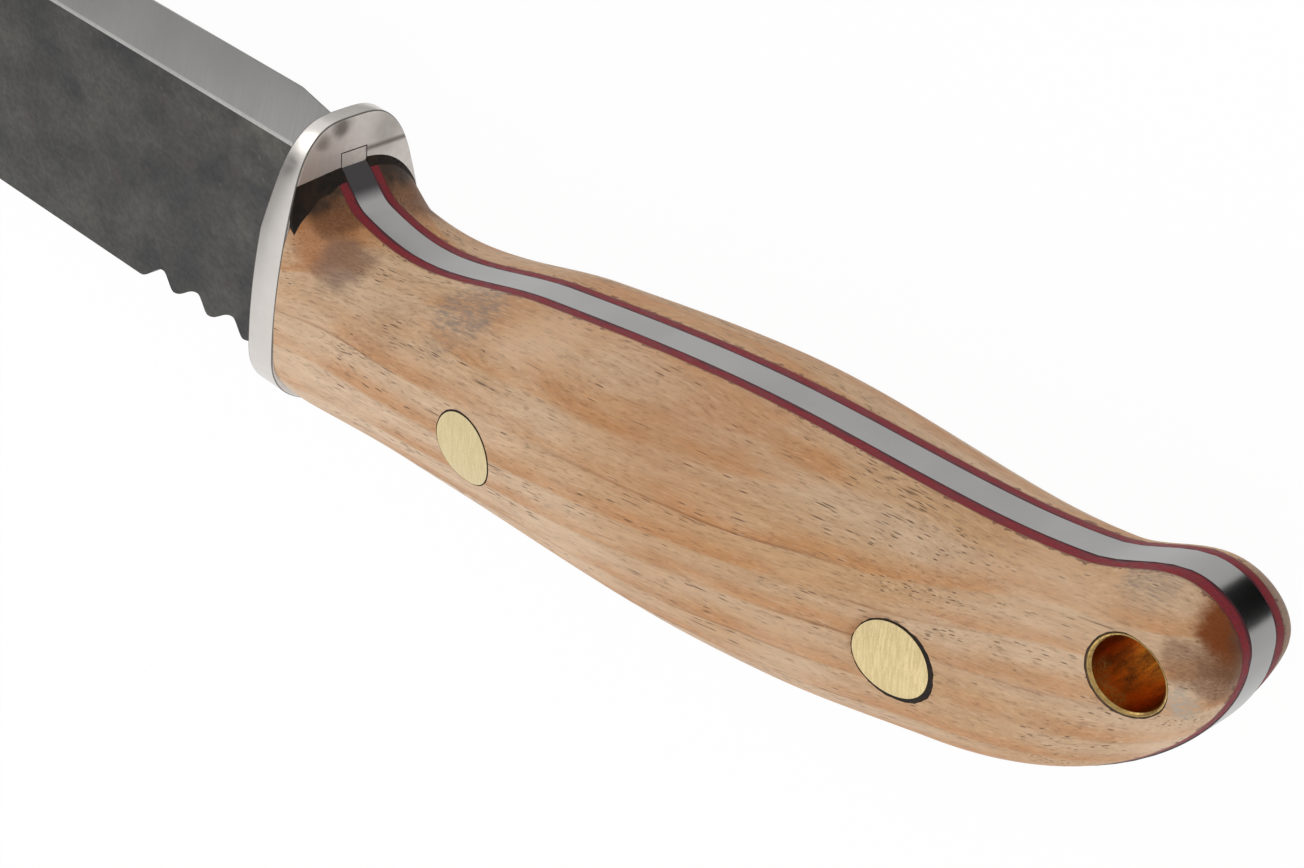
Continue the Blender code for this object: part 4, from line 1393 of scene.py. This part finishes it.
# %% Fill the corner behind the guard
GLUE_GAP = 0.00005
GLUE_FROM = HALF_STEEL + GLUE_GAP
GLUE_TO = 0.0083
GLUE_SECTIONS = 40
GLUE_STEPS = 6
GLUE_SINK = 0.0008
GLUE_PROUD = 0.00004
GLUE_TOP = 0.02906
GLUE_TOP_FALL = 0.086
GLUE_RUN = {1: (0.0013, 0.0007), -1: (0.0006, 0.0004)}  # along the grip, first and last, on each side
GLUE_WAVES = ((7, 0.10, 0.5), (17, 0.06, 2.0))  # waves, their size and their phase
LEFT_LIFT = 0.0004


def glue_lift(height, side):
    """How far up the guard the glue stands above the wood: to a straight line on the right side."""
    if side < 0:
        return LEFT_LIFT
    top = GLUE_TOP - GLUE_TOP_FALL * (height - GLUE_FROM)
    return max(top - float(wood_depth(FRONT_GAP, height)), GLUE_PROUD)


def glue_section(height, side):
    """A fillet at one height: out along the wood from the guard, then back under its surface."""
    share = (height - GLUE_FROM) / (GLUE_TO - GLUE_FROM)
    first_run, last_run = GLUE_RUN[side]
    wave = 1 + sum(size * math.sin(count * share + phase) for count, size, phase in GLUE_WAVES)
    run = (first_run + (last_run - first_run) * share**3) * wave
    steps = np.linspace(0, 1, GLUE_STEPS)
    surface = [float(wood_depth(FRONT_GAP + step * run, height)) for step in steps]
    lift = glue_lift(height, side)
    points = list(zip(steps, surface))
    outer = [(step * run, depth + GLUE_PROUD + lift * (1 - step) ** 2) for step, depth in points]
    inner = [(step * run, depth - GLUE_SINK) for step, depth in points]
    return [(-reach, -depth, side * height) for reach, depth in outer + inner[::-1]]


glue_heights = np.linspace(GLUE_FROM, GLUE_TO, GLUE_SECTIONS)
guard_reach = loft([guard_outline(-MARGIN), guard_outline(MARGIN)])
for side_name, side in SIDES:
    fillet = loft([glue_section(height, side) for height in glue_heights])
    finish_piece("guard_glue_" + side_name, carve(fillet, ("INTERSECT", guard_reach)), [glue])

# %% [markdown]
# ## Floor and light
#
# The knife lies in a light tent: a white floor, an even white sky and two soft lamps. The floor and the
# sky show as white to the camera and to polished metal, and the floor still takes a faint shadow. Metal
# needs something to mirror, so the sky has two grey panels ahead of the blade, and two small cards lie
# by the butt and by the guard, where only mirrored rays see them. Light stays at the level at which a
# colour renders as it was written.

# %% Floor and sky
FLOOR_SIZE = 6.0
FLOOR_WHITE = 0.9
FLOOR_GLOW = 0.97
FLOOR_LEVEL = cad_box[0][2]
SKY = 0.74

# Each grey panel: its direction, the cosines of the angles at its edge and at its middle, and its darkening
PANELS = [
    (Vector((0.88, 0.10, 0.46)), 0.945, 0.992, 0.66),
    (Vector((0.69, -0.10, 0.71)), 0.973, 0.992, 0.92),
]


def lay_flat(name, size, place):
    """A square sheet on the floor, which isn't part of the knife."""
    sheet = bmesh.new()
    bmesh.ops.create_grid(sheet, x_segments=1, y_segments=1, size=size / 2)
    obj = object_from(name, sheet)
    obj.location = place
    obj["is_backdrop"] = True
    return obj


def matte(name, colour):
    """A material without gloss."""
    material = bpy.data.materials.new(name)
    material.use_nodes = True
    tree = material.node_tree
    shader = tree.nodes["Principled BSDF"]
    feed(tree, shader, Base_Color=colour, Roughness=1.0, Specular_IOR_Level=0.0)
    return material


def seen_directly(tree):
    """1 for rays from the camera and for reflected or passed ones, 0 for light that only brightens."""
    path = put(tree, "ShaderNodeLightPath").outputs
    mirrored = reckon(tree, "MAXIMUM", path["Is Glossy Ray"], path["Is Transmission Ray"])
    return reckon(tree, "MAXIMUM", path["Is Camera Ray"], mirrored)


floor = lay_flat("floor", FLOOR_SIZE, (0, 0, FLOOR_LEVEL))
floor_finish = matte("floor", (FLOOR_WHITE, FLOOR_WHITE, FLOOR_WHITE, 1))
tree = floor_finish.node_tree
floor_shader = tree.nodes["Principled BSDF"]
glow = put(tree, "ShaderNodeEmission", {"Color": (1, 1, 1, 1), "Strength": 1.0})
share = times(tree, seen_directly(tree), FLOOR_GLOW)
mixed = put(tree, "ShaderNodeMixShader", {0: share, 1: floor_shader.outputs[0], 2: glow.outputs[0]})
tree.links.new(mixed.outputs[0], tree.nodes["Material Output"].inputs[0])
floor.data.materials.append(floor_finish)

sky = bpy.data.worlds.new("sky")
sky.use_nodes = True
bpy.context.scene.world = sky
tree = sky.node_tree
look = put(tree, "ShaderNodeTexCoord").outputs["Generated"]
white = 1.0
for towards, edge, middle, darkening in PANELS:
    inputs = {0: look, 1: towards.normalized()}
    facing = put(tree, "ShaderNodeVectorMath", inputs, operation="DOT_PRODUCT").outputs["Value"]
    white = reckon(tree, "SUBTRACT", white, fade(tree, facing, edge, middle, 0.0, darkening))
bright = reckon(tree, "MAXIMUM", white, put(tree, "ShaderNodeLightPath").outputs["Is Camera Ray"])
seen = seen_directly(tree)
unseen = times(tree, reckon(tree, "SUBTRACT", 1.0, seen), SKY)
strength = reckon(tree, "ADD", times(tree, seen, bright), unseen)
feed(tree, tree.nodes["Background"], Color=(1, 1, 1, 1), Strength=strength)
print("sky", SKY, "with", len(PANELS), "grey panels")

# %% Cards and lamps
CARD_HEIGHT = 0.0005


def lay_card(name, grey, size, reach, depth):
    """A card on the floor that only mirrored rays see."""
    card = lay_flat(name, size, (SEAT.x - reach, SEAT.y - depth, FLOOR_LEVEL + CARD_HEIGHT))
    card.data.materials.append(matte(name, paint(grey, grey, grey)))
    card.visible_camera = False
    card.visible_diffuse = False
    card.visible_shadow = False
    card.visible_transmission = False


lay_card("dark_card", grey=24, size=0.022, reach=HOOK + 0.012, depth=HOOK_DEPTH + 0.0115)
lay_card("grey_card", grey=226, size=0.036, reach=-0.022, depth=GUARD_DEPTH + 0.020)


def lamp(name, place, size, power):
    """A square soft lamp that looks at the grip."""
    light = bpy.data.lights.new(name, "AREA")
    light.size = size
    light.energy = power
    obj = bpy.data.objects.new(name, light)
    obj.location = SEAT + Vector(place)
    towards = SEAT + AIM_FROM_SEAT - obj.location
    obj.rotation_euler = towards.to_track_quat("-Z", "Y").to_euler()
    bpy.context.scene.collection.objects.link(obj)


lamp("key", place=(0.41, -0.43, 0.37), size=0.32, power=0.7)
lamp("back", place=(-0.15, 0.52, 0.45), size=0.6, power=1.2)
bpy.context.scene.view_settings.view_transform = "Standard"

# %% [markdown]
# ## Measure the sizes
#
# The dressed knife has to keep the size of the plain one, so both boxes are printed side by side.

# %% Print the sizes
visual_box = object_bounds()
boxes = {"cad": cad_box, "visual": visual_box}
for axis in range(3):
    sizes = [(box[1][axis] - box[0][axis]) * 1000 for box in boxes.values()]
    print("XYZ"[axis], "solid and dressed:", [round(size, 2) for size in sizes], "mm")
